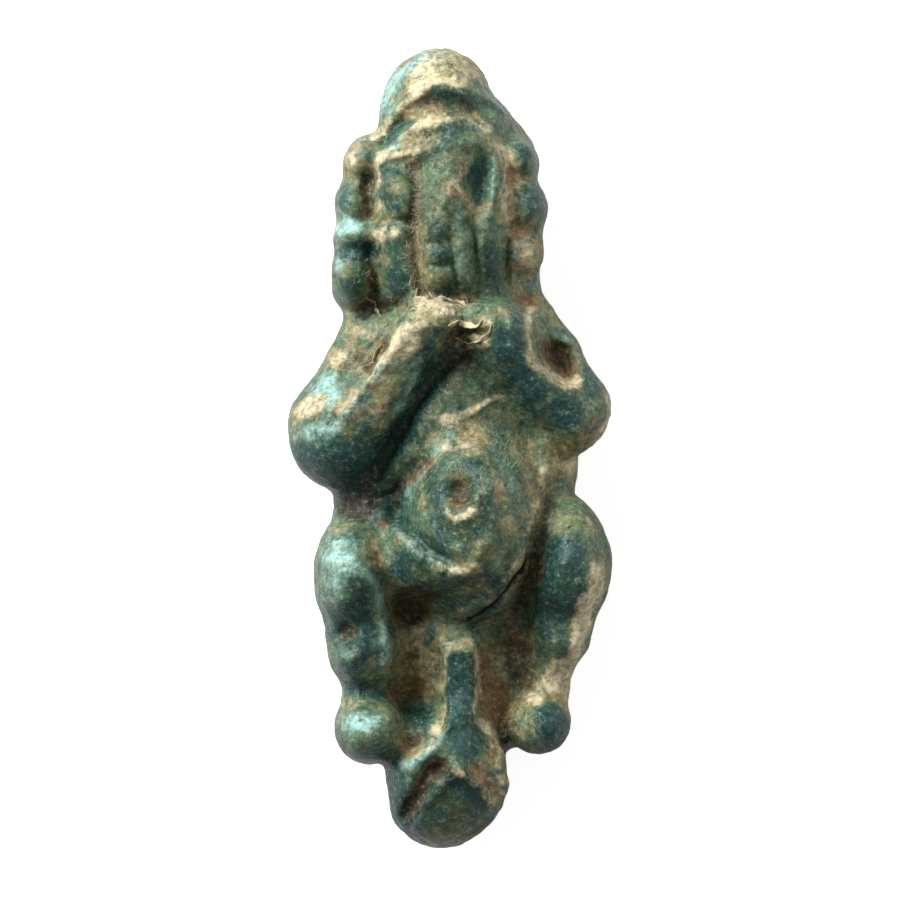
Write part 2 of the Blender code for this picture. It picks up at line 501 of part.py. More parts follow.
def amulet():
    """The whole amulet: a ball drawn in onto the figure, and scaled to the real sizes."""
    ball = bmesh.new()
    bmesh.ops.create_uvsphere(ball, u_segments=COLUMNS, v_segments=ROWS, radius=1)
    points = np.array([vertex.co for vertex in ball.verts]).T
    row = np.rint(np.arccos(np.clip(points[2], -1, 1)) / np.pi * ROWS).astype(int)
    column = np.rint(np.arctan2(points[1], points[0]) / (2 * np.pi) * COLUMNS).astype(int) % COLUMNS
    grid = skin(relief())
    placed = grid[:, row, column]
    for end in (0, ROWS):
        placed[:, row == end] = grid[:, end].mean(axis=1, keepdims=True)
    placed[2] = np.where(placed[2] < FLAT_BACK + 0.004, FLAT_BACK, placed[2])
    low, high = placed.min(axis=1), placed.max(axis=1)
    centre = (low + high) / 2
    centre[2] = low[2]
    size = np.array([WIDTH, LENGTH, DEPTH]) / (high - low)
    placed = (placed - centre[:, None]) * size[:, None]
    for vertex, place in zip(ball.verts, placed.T):
        vertex.co = place
    bmesh.ops.triangulate(ball, faces=ball.faces, quad_method="SHORT_EDGE")
    bmesh.ops.recalc_face_normals(ball, faces=ball.faces)
    mesh = bpy.data.meshes.new("amulet")
    ball.to_mesh(mesh)
    ball.free()
    mesh.shade_smooth()
    mesh.materials.append(glaze())
    piece = bpy.data.objects.new("amulet", mesh)
    bpy.context.collection.objects.link(piece)
    return piece


def bore(piece):
    """The cord's bore, cut straight across behind the face."""
    bpy.ops.mesh.primitive_cylinder_add(vertices=16, radius=CORD_HOLE / 2, depth=WIDTH * 1.5)
    cutter = bpy.context.object
    cutter.name = "cord_bore_cutter"
    cutter.rotation_euler = (0, np.pi / 2, 0)
    cutter.location = (0, CORD_HOLE_ALONG, CORD_HOLE_DEEP)
    cutter.hide_render = True
    cutter.display_type = "WIRE"
    cut = piece.modifiers.new("cord bore", "BOOLEAN")
    cut.operation = "DIFFERENCE"
    cut.solver = "EXACT"
    cut.object = cutter


clear_scene()
bore(amulet())
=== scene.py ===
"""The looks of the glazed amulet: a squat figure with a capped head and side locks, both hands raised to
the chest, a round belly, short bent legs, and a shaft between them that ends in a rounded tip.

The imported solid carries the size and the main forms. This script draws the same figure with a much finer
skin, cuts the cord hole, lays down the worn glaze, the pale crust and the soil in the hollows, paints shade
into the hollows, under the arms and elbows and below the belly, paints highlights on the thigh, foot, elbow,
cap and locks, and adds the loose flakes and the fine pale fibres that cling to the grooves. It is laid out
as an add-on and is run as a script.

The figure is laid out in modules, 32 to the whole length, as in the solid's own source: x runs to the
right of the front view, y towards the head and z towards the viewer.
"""

import bpy
import numpy as np
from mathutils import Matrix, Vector


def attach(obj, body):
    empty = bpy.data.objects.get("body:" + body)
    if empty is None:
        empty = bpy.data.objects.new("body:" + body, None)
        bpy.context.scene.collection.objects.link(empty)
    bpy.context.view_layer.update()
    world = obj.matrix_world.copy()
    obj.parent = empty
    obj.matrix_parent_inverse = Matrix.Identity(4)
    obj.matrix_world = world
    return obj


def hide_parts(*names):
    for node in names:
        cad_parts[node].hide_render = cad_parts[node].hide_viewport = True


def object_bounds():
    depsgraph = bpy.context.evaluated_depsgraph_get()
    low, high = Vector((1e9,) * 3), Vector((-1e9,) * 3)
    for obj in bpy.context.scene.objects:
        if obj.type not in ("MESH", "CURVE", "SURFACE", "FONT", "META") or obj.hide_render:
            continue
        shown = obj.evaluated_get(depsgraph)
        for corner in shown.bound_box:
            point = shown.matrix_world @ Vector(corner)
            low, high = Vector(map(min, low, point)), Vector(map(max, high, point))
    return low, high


bl_info = {
    "name": "Glazed amulet",
    "version": (1, 0, 0),
    "blender": (4, 5, 0),
    "location": "View3D > Sidebar > Amulet",
    "description": "Builds the worn glazed amulet, its crust and fibres, and the stage it lies on",
    "category": "Object",
}

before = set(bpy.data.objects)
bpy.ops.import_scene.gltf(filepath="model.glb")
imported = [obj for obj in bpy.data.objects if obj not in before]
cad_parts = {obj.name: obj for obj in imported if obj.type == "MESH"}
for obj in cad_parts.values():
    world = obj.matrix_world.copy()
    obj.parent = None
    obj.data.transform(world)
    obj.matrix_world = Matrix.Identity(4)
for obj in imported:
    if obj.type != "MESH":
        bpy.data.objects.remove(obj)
SOLID_BOX = [[float(c) for c in corner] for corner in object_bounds()]
LOW, HIGH = (np.array(corner) for corner in SOLID_BOX)

FLAT_BACK = 0.0  # where the back is rubbed flat
BACK_ARRIS = 0.5  # how softly the flat meets the rounded back
MIDDLE = 3.3  # height of the middle plane of the figure
FRONT = 1.2  # the carving starts here and is at full depth FRONT_FADE above it
FRONT_FADE = 2.6
LIMB_BLEND = 0.8  # how softly arms and legs run into the body
LOCK_BLEND = 0.6
# Half sizes of the main lumps: across, along and up.
TORSO = (4.35, 6.4, 3.5)
HEAD = (3.55, 5.0, 3.8)
CAP = (2.4, 2.85, 3.1)
ELBOW = (2.03, 2.15, 2.85)
BELLY = (2.75, 4.1, 3.7)
FOOT = (1.45, 1.42, 2.5)
TIP = (2.3, 2.87, 2.8)
HOLE_ALONG = 7.6  # the cord hole: its place along the length, its height and its radius
HOLE_HIGH = 2.3
HOLE_RADIUS = 0.75
METRES = 0.001  # metres to a module
DRILL_LENGTH = 0.02  # from here on in metres
FIBRE_STEPS = 6
FIBRE_RADIUS = 0.000009
FIBRE_SUNK = 0.00002  # how far a fibre's root lies under the skin
FLAKE_STEPS = 22
FLAKE_HEIGHT = 0.00011
FLAKE_LEAST = 0.00001
FLAKE_THICKNESS = 0.000022
FLOOR_SIDE = 1.5  # half the floor's side

LATTICE_PRIMES = (73856093, 19349663, 83492791)  # they mix the three places of a lattice corner into one
SHEET_STEP = 0.05  # pitch of the flat sheet on which carving and tones are laid out
SHEET_X = np.arange(-7.6, 7.6, SHEET_STEP)
SHEET_Y = np.arange(-16.8, 16.8, SHEET_STEP)


def smooth(t):
    """0 below 0, 1 above 1, with an S curve between."""
    t = np.clip(t, 0, 1)
    return t * t * (3 - 2 * t)


def ellipsoid(p, centre, radii, turn=0.0):
    """Distance from an ellipsoid, near enough; turn is its angle in the XY plane in degrees."""
    x, y, z = (p[i] - centre[i] for i in range(3))
    c, s = np.cos(np.radians(turn)), np.sin(np.radians(turn))
    x, y = c * x + s * y, c * y - s * x
    a, b, c = radii
    k0 = np.sqrt((x / a) ** 2 + (y / b) ** 2 + (z / c) ** 2) + 1e-9
    k1 = np.sqrt((x / a**2) ** 2 + (y / b**2) ** 2 + (z / c**2) ** 2) + 1e-9
    return k0 * (k0 - 1) / k1


def limb(p, start, end, r0, r1):
    """Distance from a round limb that runs from start to end and changes its radius from r0 to r1."""
    run = [end[i] - start[i] for i in range(3)]
    off = [p[i] - start[i] for i in range(3)]
    t = sum(off[i] * run[i] for i in range(3)) / sum(d * d for d in run)
    t = np.clip(t, 0, 1)
    far = np.sqrt(sum((off[i] - t * run[i]) ** 2 for i in range(3)) + 1e-12)
    return far - (r0 + t * (r1 - r0))


def join(f, g, blend):
    """The union of two forms, with a fillet about as wide as blend."""
    h = np.clip(0.5 + 0.5 * (g - f) / blend, 0, 1)
    return g * (1 - h) + f * h - blend * h * (1 - h)


def grow(f, p, *forms):
    """The union of f with more forms, one after the other.

    A row is the fillet's width and then either an ellipsoid (centre, half sizes and perhaps its turn) or a
    limb (start, end and both radii).
    """
    for blend, *form in forms:
        shape = limb if len(form) == 4 else ellipsoid
        f = join(f, shape(p, *form), blend)
    return f


def noise(p, size, seed):
    """Smooth random values from -1 to 1: one value at each corner of a lattice of that size, eased
    between them."""
    table = np.random.default_rng(seed).uniform(-1, 1, 4096)
    q = np.stack([c / size for c in p])
    cell = np.floor(q).astype(np.int64)
    part = smooth(q - cell)
    total = 0.0
    for corner in range(8):
        step = [(corner >> axis) & 1 for axis in range(3)]
        x, y, z = (LATTICE_PRIMES[axis] * (cell[axis] + step[axis]) for axis in range(3))
        key = x ^ y ^ z
        share = 1.0
        for axis in range(3):
            share = share * (part[axis] if step[axis] else 1 - part[axis])
        total = total + share * table[(key >> 3) & 4095]
    return total


def curve(points, pieces=7):
    """Points along a smooth curve through the given ones: each stretch is a cubic whose end slopes follow
    the chord between its neighbours."""
    k = np.array(points, dtype=float)
    if len(k) < 3:
        return k
    k = np.vstack([2 * k[0] - k[1], k, 2 * k[-1] - k[-2]])
    t = np.linspace(0, 1, pieces, endpoint=False)[None, :, None]
    a, b, c, d = (k[i:len(k) - 3 + i, None, :] for i in range(4))
    bend = (2 * b + (c - a) * t + (2 * a - 5 * b + 4 * c - d) * t**2 + (3 * b - a - 3 * c + d) * t**3) / 2
    return np.vstack([bend.reshape(-1, k.shape[1]), k[-2]])


def patch(low, high):
    """The part of the sheet between two corners, as slices, with the x and y of its points."""
    i0, i1 = np.searchsorted(SHEET_Y, (low[1], high[1]))
    j0, j1 = np.searchsorted(SHEET_X, (low[0], high[0]))
    x, y = np.meshgrid(SHEET_X[j0:j1], SHEET_Y[i0:i1])
    return (slice(i0, i1), slice(j0, j1)), x, y


def new_sheet():
    """A flat sheet over the whole front, at 0."""
    return np.zeros((len(SHEET_Y), len(SHEET_X)))


def line(sheet, amount, width, *points):
    """Adds amount times exp(-(distance / width)^2) along a smooth curve through the points."""
    way = curve(points)
    where, x, y = patch(way.min(0) - 2.7 * width, way.max(0) + 2.7 * width)
    near = np.full_like(x, 99.0)
    for (x0, y0), (x1, y1) in zip(way[:-1], way[1:]):
        dx, dy = x1 - x0, y1 - y0
        t = np.clip(((x - x0) * dx + (y - y0) * dy) / (dx * dx + dy * dy), 0, 1)
        near = np.minimum(near, np.hypot(x - x0 - t * dx, y - y0 - t * dy))
    sheet[where] += amount * np.exp(-((near / width) ** 2))


def dab(sheet, amount, centre, radii, turn=0.0, power=2.0):
    """Adds amount times exp(-r^power), with r measured in an oval; a larger power gives a flatter top."""
    reach = 2.7 * max(radii)
    where, x, y = patch((centre[0] - reach, centre[1] - reach), (centre[0] + reach, centre[1] + reach))
    c, s = np.cos(np.radians(turn)), np.sin(np.radians(turn))
    u, v = x - centre[0], y - centre[1]
    u, v = c * u + s * v, c * v - s * u
    sheet[where] += amount * np.exp(-(((u / radii[0]) ** 2 + (v / radii[1]) ** 2) ** (power / 2)))


def strokes(sheet, *rows):
    """Lays many strokes on a sheet.

    A row is an amount, a width and points for a line, or an amount, a centre and a pair of radii for a dab,
    with its turn and its power where they matter.
    """
    for row in rows:
        stroke = dab if isinstance(row[1], tuple) else line
        stroke(sheet, *row)


def read_sheet(sheet, x, y):
    """The sheet's value at any x and y, by weighing its four nearest points."""
    u = np.clip((x - SHEET_X[0]) / SHEET_STEP, 0, len(SHEET_X) - 1.001)
    v = np.clip((y - SHEET_Y[0]) / SHEET_STEP, 0, len(SHEET_Y) - 1.001)
    j, i = u.astype(int), v.astype(int)
    u, v = u - j, v - i
    top = sheet[i, j] * (1 - u) + sheet[i, j + 1] * u
    return top * (1 - v) + (sheet[i + 1, j] * (1 - u) + sheet[i + 1, j + 1] * u) * v


def inside(distance, soft):
    """1 where distance is positive and 0 where it is negative, over a band as wide as soft."""
    return smooth(distance / soft + 0.5)


def roof(x, y, apex, left, right, soft):
    """1 under a pitched roof; left and right are how far its slopes run out for each module of drop."""
    drop = apex[1] - y
    return inside(x - apex[0] + left * drop, soft) * inside(apex[0] + right * drop - x, soft)


def torso(f, p):
    """The core of the body, from the shoulders to the feet, with both flanks."""
    return grow(
        ellipsoid(p, (0.0, 2.8, 2.75), TORSO), p,
        (0.8, (0.2, -6.0, 1.8), (4.85, 6.9, 2.6)),
        (0.7, (-3.05, -2.0, 2.4), (1.75, 2.4, 2.6)),
        (0.7, (3.45, -0.75, 2.4), (1.75, 2.2, 2.6)))


def head(f, p):
    """Head, hair and cap, with a rope of beads as a lock down each side."""
    left = (-3.4, 11.4, 1.0), (-3.76, 9.7, 1.0), (-3.82, 8.35, 0.8), (-3.87, 7.0, 1.25)
    right = (2.62, 11.4, 0.95), (3.0, 9.45, 1.15), (2.82, 7.9, 1.0)
    beads = [(0.5, (x, y, 4.1), (0.95, tall, 1.75)) for x, y, tall in left + right]
    return grow(
        f, p,
        (0.6, (-0.35, 9.2, 3.4), HEAD),
        (0.5, (0.1, 10.9, 3.4), (3.05, 3.8, 3.5)),
        (0.4, (-0.52, 13.15, 3.3), CAP),
        (0.6, (-0.4, 8.8, 2.55), (3.95, 4.3, 2.7)),
        (LOCK_BLEND, (-3.3, 11.5, 3.1), (-3.7, 6.4, 3.1), 0.98, 1.1),
        (LOCK_BLEND, (2.35, 11.9, 3.2), (2.6, 6.9, 3.2), 1.0, 0.95),
        *beads)


def arms(f, p):
    """Two bent arms: the elbows stand out at the sides and the hands meet under the face."""
    return grow(
        f, p,
        (LIMB_BLEND, (-3.3, 4.4, 3.3), (-4.55, 1.2, 3.5), 1.2, 1.78),
        (LIMB_BLEND, (-4.5, 0.5, 3.7), ELBOW),
        (0.4, (-4.05, 0.5, 4.9), (-1.35, 4.45, 6.5), 1.45, 1.05),
        (0.4, (-0.85, 4.9, 6.4), (1.35, 0.9, 1.4), 30),
        (LIMB_BLEND, (3.05, 4.7, 3.8), (4.6, 1.65, 3.8), 1.4, 1.78),
        (0.4, (3.85, 3.65, 3.8), (1.5, 1.3, 1.7)),
        (LIMB_BLEND, (4.75, 1.5, 4.5), (2.3, 4.0, 5.9), 1.5, 1.35),
        (LIMB_BLEND, (1.75, 4.85, 6.2), (1.25, 1.15, 1.4), -25))


def belly(f, p):
    """A pear-shaped belly, pointed at the top, with a lower lobe to the left."""
    return grow(
        f, p,
        (0.4, (0.95, -2.8, 4.0), BELLY),
        (0.5, (0.15, 0.35, 5.0), (0.5, -1.5, 4.7), 0.75, 2.1),
        (0.45, (-0.55, -4.3, 4.1), (2.35, 2.25, 2.75), -12))


def legs(f, p):
    """Two short bent legs that end in round feet."""
    return grow(
        f, p,
        (LIMB_BLEND, (-4.0, -5.15, 3.9), (1.58, 2.35, 3.0), 3),
        (LIMB_BLEND, (-3.6, -4.6, 4.1), (-3.45, -8.3, 3.9), 1.5, 1.2),
        (LIMB_BLEND, (-3.65, -8.05, 4.0), (1.25, 1.5, 2.35)),
        (0.5, (-3.45, -9.75, 3.2), (0.95, 1.0, 2.0)),
        (LOCK_BLEND, (-3.27, -11.2, 3.8), FOOT),
        (LIMB_BLEND, (4.78, -4.55, 3.8), (1.72, 2.6, 2.8)),
        (LIMB_BLEND, (4.7, -5.2, 3.9), (3.95, -9.6, 3.3), 1.4, 0.85),
        (0.5, (4.55, -7.4, 3.4), (1.18, 1.3, 2.0)),
        (0.5, (3.8, -11.0, 3.5), (1.02, 1.12, 2.2)),
        (0.6, (3.35, -10.95, 2.8), (1.3, 1.12, 2.0)))


def tip(f, p):
    """The large rounded end between the feet."""
    return grow(
        f, p,
        (LIMB_BLEND, (0.35, -11.0, 3.0), (-0.05, -13.0, 3.1), 1.3, 2.3),
        (LIMB_BLEND, (-0.18, -13.1, 3.2), TIP),
        (0.3, (-0.6, -14.25, 3.2), (1.85, 1.7, 2.4)))


def head_carving(h):
    """Cap band, hairline, brows, eye sockets, nose, cheeks, the lobes under the face and the locks' gaps."""
    strokes(h,
        (0.26, 0.34, (-0.9, 14.15), (0.2, 14.1), (1.2, 13.9), (2.1, 13.45)),
        (0.24, 0.28, (-0.9, 14.3), (-1.8, 13.7), (-2.5, 13.0), (-2.95, 12.4)),
        (-0.2, 0.24, (-2.2, 12.9), (-1.4, 13.4), (-0.4, 13.55), (0.5, 13.45), (1.3, 13.15)),
        (-0.30, 0.20, (-2.75, 12.1), (-2.35, 12.55), (-1.9, 12.9)),
        (0.10, 0.13, (-1.7, 13.1), (-0.8, 13.12), (0.1, 13.05), (1.0, 12.9)),
        (0.26, 0.26, (-2.95, 11.2), (-2.4, 11.95), (-1.6, 12.5), (-0.7, 12.75), (0.2, 12.7)),
        (0.24, (0.4, 12.2), (0.9, 0.6)), (-0.12, (-0.55, 12.15), (0.3, 0.25)),
        (0.22, 0.2, (-2.85, 10.9), (-2.6, 11.35), (-2.0, 11.5), (-1.3, 11.55)),
        (-0.42, (-1.45, 10.95), (0.62, 0.42), 12), (-0.30, (-1.2, 10.3), (0.35, 0.6)),
        (0.42, (-2.3, 9.95), (0.62, 0.95), 8), (-0.14, (-2.25, 9.75), (0.16, 0.2)),
        (0.12, (-2.35, 10.65), (0.36, 0.22)), (-0.26, 0.16, (-2.5, 9.0), (-2.0, 8.95), (-1.6, 8.95)),
        (-0.34, 0.26, (-1.45, 10.6), (-1.35, 9.6), (-1.35, 8.7), (-1.35, 7.9), (-1.2, 6.2)),
        (-0.50, 0.42, (-3.15, 10.9), (-3.2, 10.2), (-3.1, 9.35)), (0.16, (-3.6, 10.6), (0.3, 0.26), 20),
        (0.26, (-2.35, 8.35), (0.62, 0.4), -10), (0.34, (-2.3, 7.2), (0.62, 1.0), 6, 2.4),
        (-0.12, (-2.3, 7.0), (0.24, 0.55), 6),
        (-0.36, 0.22, (-3.15, 7.9), (-3.05, 7.1), (-2.95, 6.3), (-2.7, 5.7)),
        (0.36, 0.5, (-0.1, 11.7), (-0.05, 10.6), (-0.05, 9.6)), (0.16, (-0.25, 9.5), (0.5, 0.45)),
        (0.16, 0.11, (0.05, 10.35), (0.35, 10.0), (0.62, 9.55)), (-0.12, (-0.55, 11.35), (0.3, 0.25)),
        (0.26, (-0.45, 8.4), (0.5, 0.55), 0, 2.2), (0.24, (-0.4, 7.5), (0.5, 0.4), 10, 2.2),
        (0.32, (-0.45, 6.6), (0.55, 0.5), -10, 2.2),
        (-0.12, 0.13, (-0.85, 8.0), (-0.45, 7.95), (-0.1, 8.1)),
        (-0.12, 0.12, (-0.8, 7.1), (-0.4, 7.05), (0.0, 7.2)),
        (0.22, 0.3, (0.5, 8.9), (0.48, 8.0), (0.55, 7.0), (0.6, 6.2)), (-0.1, (0.5, 7.7), (0.2, 0.2)),
        (-0.14, 0.13, (0.1, 9.0), (0.08, 8.0), (0.15, 7.0), (0.2, 6.2)),
        (-0.56, (1.1, 10.55), (0.42, 1.0), -6, 2.4), (-0.14, (1.25, 9.7), (0.3, 0.4)),
        (0.24, 0.28, (0.7, 12.0), (1.3, 12.0), (1.75, 11.4), (1.8, 10.5), (1.7, 9.7), (1.6, 9.1)),
        (-0.1, (1.45, 10.6), (0.14, 0.3), 20),
        (-0.30, 0.32, (2.2, 12.4), (2.35, 11.4), (2.4, 10.5), (2.35, 9.6), (2.5, 8.9)),
        (-0.14, (2.5, 10.8), (0.3, 0.35)), (-0.14, (2.3, 9.4), (0.3, 0.3)),
        (-0.16, (2.95, 8.5), (0.34, 0.22), -20), (-0.22, (2.9, 7.9), (0.55, 0.6)),
        (-0.16, (3.0, 10.65), (0.34, 0.2), -15), (0.3, (1.5, 8.3), (0.5, 0.8), 4, 2.4),
        (0.28, (1.65, 7.0), (0.45, 0.85), 0, 2.4),
        (0.20, 0.17, (2.15, 9.0), (2.5, 8.4), (2.62, 7.6), (2.6, 6.9), (2.4, 6.2)),
        (-0.26, 0.16, (1.0, 9.0), (0.95, 8.2), (1.05, 7.2), (1.15, 6.3)),
        (-0.16, 0.14, (2.2, 8.2), (2.25, 7.4), (2.15, 6.6)), (-0.60, (-3.25, 5.5), (0.75, 0.45), 12),
        (-0.24, (3.0, 5.85), (0.45, 0.3)),
        (-0.44, 0.2, (-2.8, 5.45), (-2.0, 5.8), (-1.1, 5.95), (-0.2, 5.8), (0.8, 5.9), (2.4, 5.95)))


def arm_carving(h):
    """The left forearm's crest, the elbows' folds, the pit in the right arm and the slit between the
    hands."""
    strokes(h,
        (0.3, 0.3, (-4.25, 1.45), (-3.4, 2.55), (-2.6, 3.5), (-1.9, 4.3), (-1.1, 4.95)),
        (-0.34, 0.17, (-4.5, 1.3), (-4.15, 1.95), (-3.7, 2.6), (-3.3, 3.1)),
        (-0.9, 0.21, (-3.35, 3.1), (-2.98, 3.65), (-2.68, 4.15)), (-0.3, (-3.8, 3.45), (0.65, 0.45), 20),
        (0.12, (-4.6, 3.25), (0.4, 0.25), 30), (-1.6, (4.28, 3.5), (1.12, 0.62), -49, 3),
        (0.10, 0.28, (3.3, 4.7), (3.35, 3.6), (4.0, 2.75), (4.9, 2.25)),
        (-0.50, 0.45, (-0.3, 3.2), (-1.4, 1.8), (-2.4, 0.3), (-3.1, -0.9)),
        (-0.42, 0.4, (0.9, 3.7), (1.9, 2.3), (3.1, 1.1), (4.4, 0.2)),
        (-0.7, 0.14, (0.1, 4.64), (0.5, 4.72), (0.9, 4.62), (1.4, 4.56)),
        (-0.04, (0.75, 4.3), (0.5, 0.22), -8),
        (0.22, 0.14, (0.1, 4.9), (0.5, 4.98), (1.0, 4.9), (1.45, 4.85)),
        (0.2, 0.14, (0.2, 4.15), (0.8, 4.0), (1.3, 4.1)), (0.12, (2.5, 4.9), (0.4, 0.5)),
        (-0.16, 0.16, (1.75, 5.4), (2.15, 4.9), (2.2, 4.2)), (0.14, (-1.35, 4.05), (0.4, 0.45), 30),
        (0.08, 0.09, (0.35, 1.35), (0.9, 1.42), (1.5, 1.75), (1.9, 2.0)))


def belly_carving(h):
    """The disc round the navel, the navel and its lip, the fold below, and the belly's rim with its
    crack."""
    strokes(h,
        (-0.5, (0.42, -1.8), (0.5, 0.55), 10, 2),
        (0.12, 0.25, (-0.2, -2.55), (0.2, -2.75), (0.6, -2.75), (0.95, -2.5)),
        (0.22, 0.3, (0.0, 0.6), (-0.9, -0.5), (-1.6, -1.5), (-1.95, -2.2)),
        (-0.3, 0.3, (-1.1, -0.6), (-1.7, -1.0), (-2.3, -1.7), (-3.1, -2.2)),
        (0.46, 0.3, (-2.75, -2.8), (-1.7, -3.7), (-0.8, -4.5), (0.2, -4.95), (1.0, -4.6), (1.5, -3.9)),
        (-0.32, 0.26, (-2.3, -2.5), (-1.55, -3.3), (-0.9, -3.95), (-0.1, -4.35)),
        (0.26, 0.2, (3.75, -0.8), (3.62, -1.9), (3.25, -3.2), (2.5, -4.8), (1.4, -5.95), (0.2, -6.6)),
        (-0.55, 0.13, (2.95, -4.3), (2.55, -5.05), (1.9, -5.9), (1.1, -6.5), (0.0, -6.95), (-0.8, -6.95)),
        (-1.15, (-1.5, -6.3), (1.05, 0.66), 6, 2.6), (-0.55, (3.6, -4.3), (0.5, 1.6), -20),
        (-0.3, (-3.7, -2.0), (0.8, 0.5)))
    where, x, y = patch((-3, -6), (4, 2))
    turn = np.arctan2(y + 2.2, x - 0.35)
    from_navel = np.hypot((x - 0.35) / 1.55, (y + 2.2) / 2.2)
    from_navel = from_navel * (1 + 0.08 * np.sin(3 * turn + 1) + 0.05 * np.sin(5 * turn))
    h[where] += 0.34 * inside(1 - from_navel, 0.34)
    h[where] += 0.06 * np.exp(-(((from_navel - 0.86) / 0.16) ** 2)) * (1 - 0.6 * np.cos(turn + 0.5))


def leg_carving(h):
    """The left knee's dimple, the shins' inner edges, the ankles, and the shaft with the hollows beside
    it."""
    strokes(h,
        (-0.9, (-4.12, -7.35), (0.40, 0.4), 0, 2), (0.2, (-4.15, -8.05), (0.5, 0.3)),
        (0.3, 0.24, (-3.35, -4.9), (-2.85, -6.2), (-2.55, -7.6), (-2.65, -8.8)),
        (-0.22, 0.28, (-3.6, -6.2), (-3.35, -7.4), (-3.2, -8.6)),
        (-0.42, 0.28, (-4.4, -9.45), (-3.5, -9.72), (-2.8, -9.7)),
        (0.2, 0.3, (3.55, -6.9), (4.0, -7.9), (4.3, -8.6)),
        (0.16, 0.24, (5.7, -5.2), (5.35, -6.6), (4.85, -8.4)), (-0.3, (3.3, -8.9), (0.5, 0.9), 15),
        (-0.45, (-1.3, -9.1), (0.9, 1.9), 0, 4), (-0.45, (2.1, -9.0), (0.85, 2.0), 15, 4),
        (-0.3, (-2.35, -9.75), (0.3, 0.3)), (0.3, (-1.15, -10.85), (0.42, 0.42)),
        (-0.35, (-1.4, -11.55), (0.4, 0.3), 30), (-0.22, (-0.65, -11.4), (0.13, 0.13)),
        (0.42, 0.28, (-0.3, -7.85), (0.4, -7.75), (1.15, -7.8)))
    where, x, y = patch((-2, -13), (3, -6))
    across = inside(x + 0.28 + 0.03 * np.sin(3 * y), 0.34) * inside(1.02 - x, 0.34)
    along = inside(y + 10.9, 1.0) * inside(-7.9 - y, 0.4)
    h[where] += 0.95 * across * along


def tip_carving(h):
    """The flared hood over the rounded end, and the end's two edges that run up to a point under it."""
    strokes(h,
        (0.24, 0.32, (-0.2, -11.15), (-0.8, -11.7), (-1.5, -12.2), (-2.1, -12.6)),
        (0.25, 0.22, (1.05, -10.9), (1.55, -11.35), (1.95, -12.1), (2.1, -12.9)),
        (-0.75, 0.40, (-0.45, -12.65), (-1.0, -13.25), (-1.5, -14.0), (-1.85, -14.7)),
        (-0.45, 0.3, (1.0, -12.8), (1.5, -13.35), (1.95, -13.95)),
        (0.2, 0.24, (-1.6, -15.0), (-1.15, -14.4), (-0.6, -13.6), (-0.15, -13.0), (0.2, -12.75)),
        (0.18, 0.22, (0.2, -12.75), (0.65, -13.15), (1.2, -13.7), (1.75, -14.25)),
        (0.12, (0.5, -11.7), (0.8, 0.6)))
    where, x, y = patch((-4, -16.5), (4, -10))
    hood = roof(x, y, (0.35, -10.5), 1.15, 0.95, 0.45)
    dome = roof(x, y, (0.2, -12.75), 0.87, 1.05, 0.4)
    h[where] += 0.5 * hood * (1 - dome)


def crumple(h, amount, size, centre, radii, turn=0.0, seed=31):
    """Adds sharp random creases inside an oval: amount times (1 - 2 |noise|), faded out at the oval's
    edge."""
    mask = new_sheet()
    dab(mask, 1.0, centre, radii, turn, 4)
    x, y = np.meshgrid(SHEET_X, SHEET_Y)
    rows = mask.max(1) > 0.01
    x, y = x[rows], y[rows]
    z = np.zeros_like(x)
    crease = noise((x, y, z), size, seed) + 0.5 * noise((x, y, z), size * 0.45, seed + 1)
    h[rows] += amount * (1 - 2 * np.abs(crease)) * mask[rows]


def wandering(sheet, amount, seed):
    """The sheet with its lines made to wander, by reading it at places moved by smooth random steps."""
    x, y = np.meshgrid(SHEET_X, SHEET_Y)
    z = np.zeros_like(x)
    step_x = noise((x, y, z), 0.8, seed) + 0.45 * noise((x, y, z), 0.33, seed + 1)
    step_y = noise((x, y, z), 0.8, seed + 2) + 0.45 * noise((x, y, z), 0.33, seed + 3)
    return read_sheet(sheet, x + amount * step_x, y + amount * step_y)


def relief():
    """The carving as heights over the flat sheet, with the crumpled crust in and round the hands."""
    h = new_sheet()
    for part in (head_carving, arm_carving, belly_carving, leg_carving, tip_carving):
        part(h)
    h = wandering(h, 0.09, 60)
    crumple(h, 0.12, 0.45, (-0.3, 5.6), (1.3, 0.4), 8)
    crumple(h, 0.1, 0.4, (-4.1, 3.4), (0.8, 0.5), 25, 33)
    crumple(h, 0.12, 0.4, (-3.2, 5.8), (0.7, 0.6), 0, 35)
    crumple(h, 0.1, 0.35, (0.8, 4.5), (0.9, 0.6), 0, 37)
    crumple(h, 0.08, 0.4, (-1.6, -9.5), (1.2, 1.4), 0, 39)
    crumple(h, 0.06, 0.4, (-4.0, 11.4), (0.7, 0.9), 0, 41)
    return h


def figure(p, h):
    """Negative inside the figure, positive outside: all forms joined, the carved front, the flat back."""
    x, y, z = p
    q = (x, y, z - read_sheet(h, x, y) * smooth((z - FRONT) / FRONT_FADE))
    f = None
    for part in (torso, head, arms, belly, legs, tip):
        f = part(f, q)
    return -join(-f, z - FLAT_BACK, BACK_ARRIS)


def stations(t):
    """Where along the length the rows lie, from the cap (t 0) to the tip (t 1): closer together at both
    ends, under the elbows and at the feet, where the outline turns quickly."""
    y = np.linspace(15.99, -15.99, 4000)
    crowd = 1 + 0.8 / np.sqrt(16 - np.abs(y)) + 0.5 * np.exp(-((y + 1.2) ** 2))
    crowd += 0.6 * np.exp(-(((y + 11) / 2.2) ** 2))
    run = np.concatenate([[0], np.cumsum((crowd[1:] + crowd[:-1]) / 2)])
    return np.interp(t * run[-1], run, y)


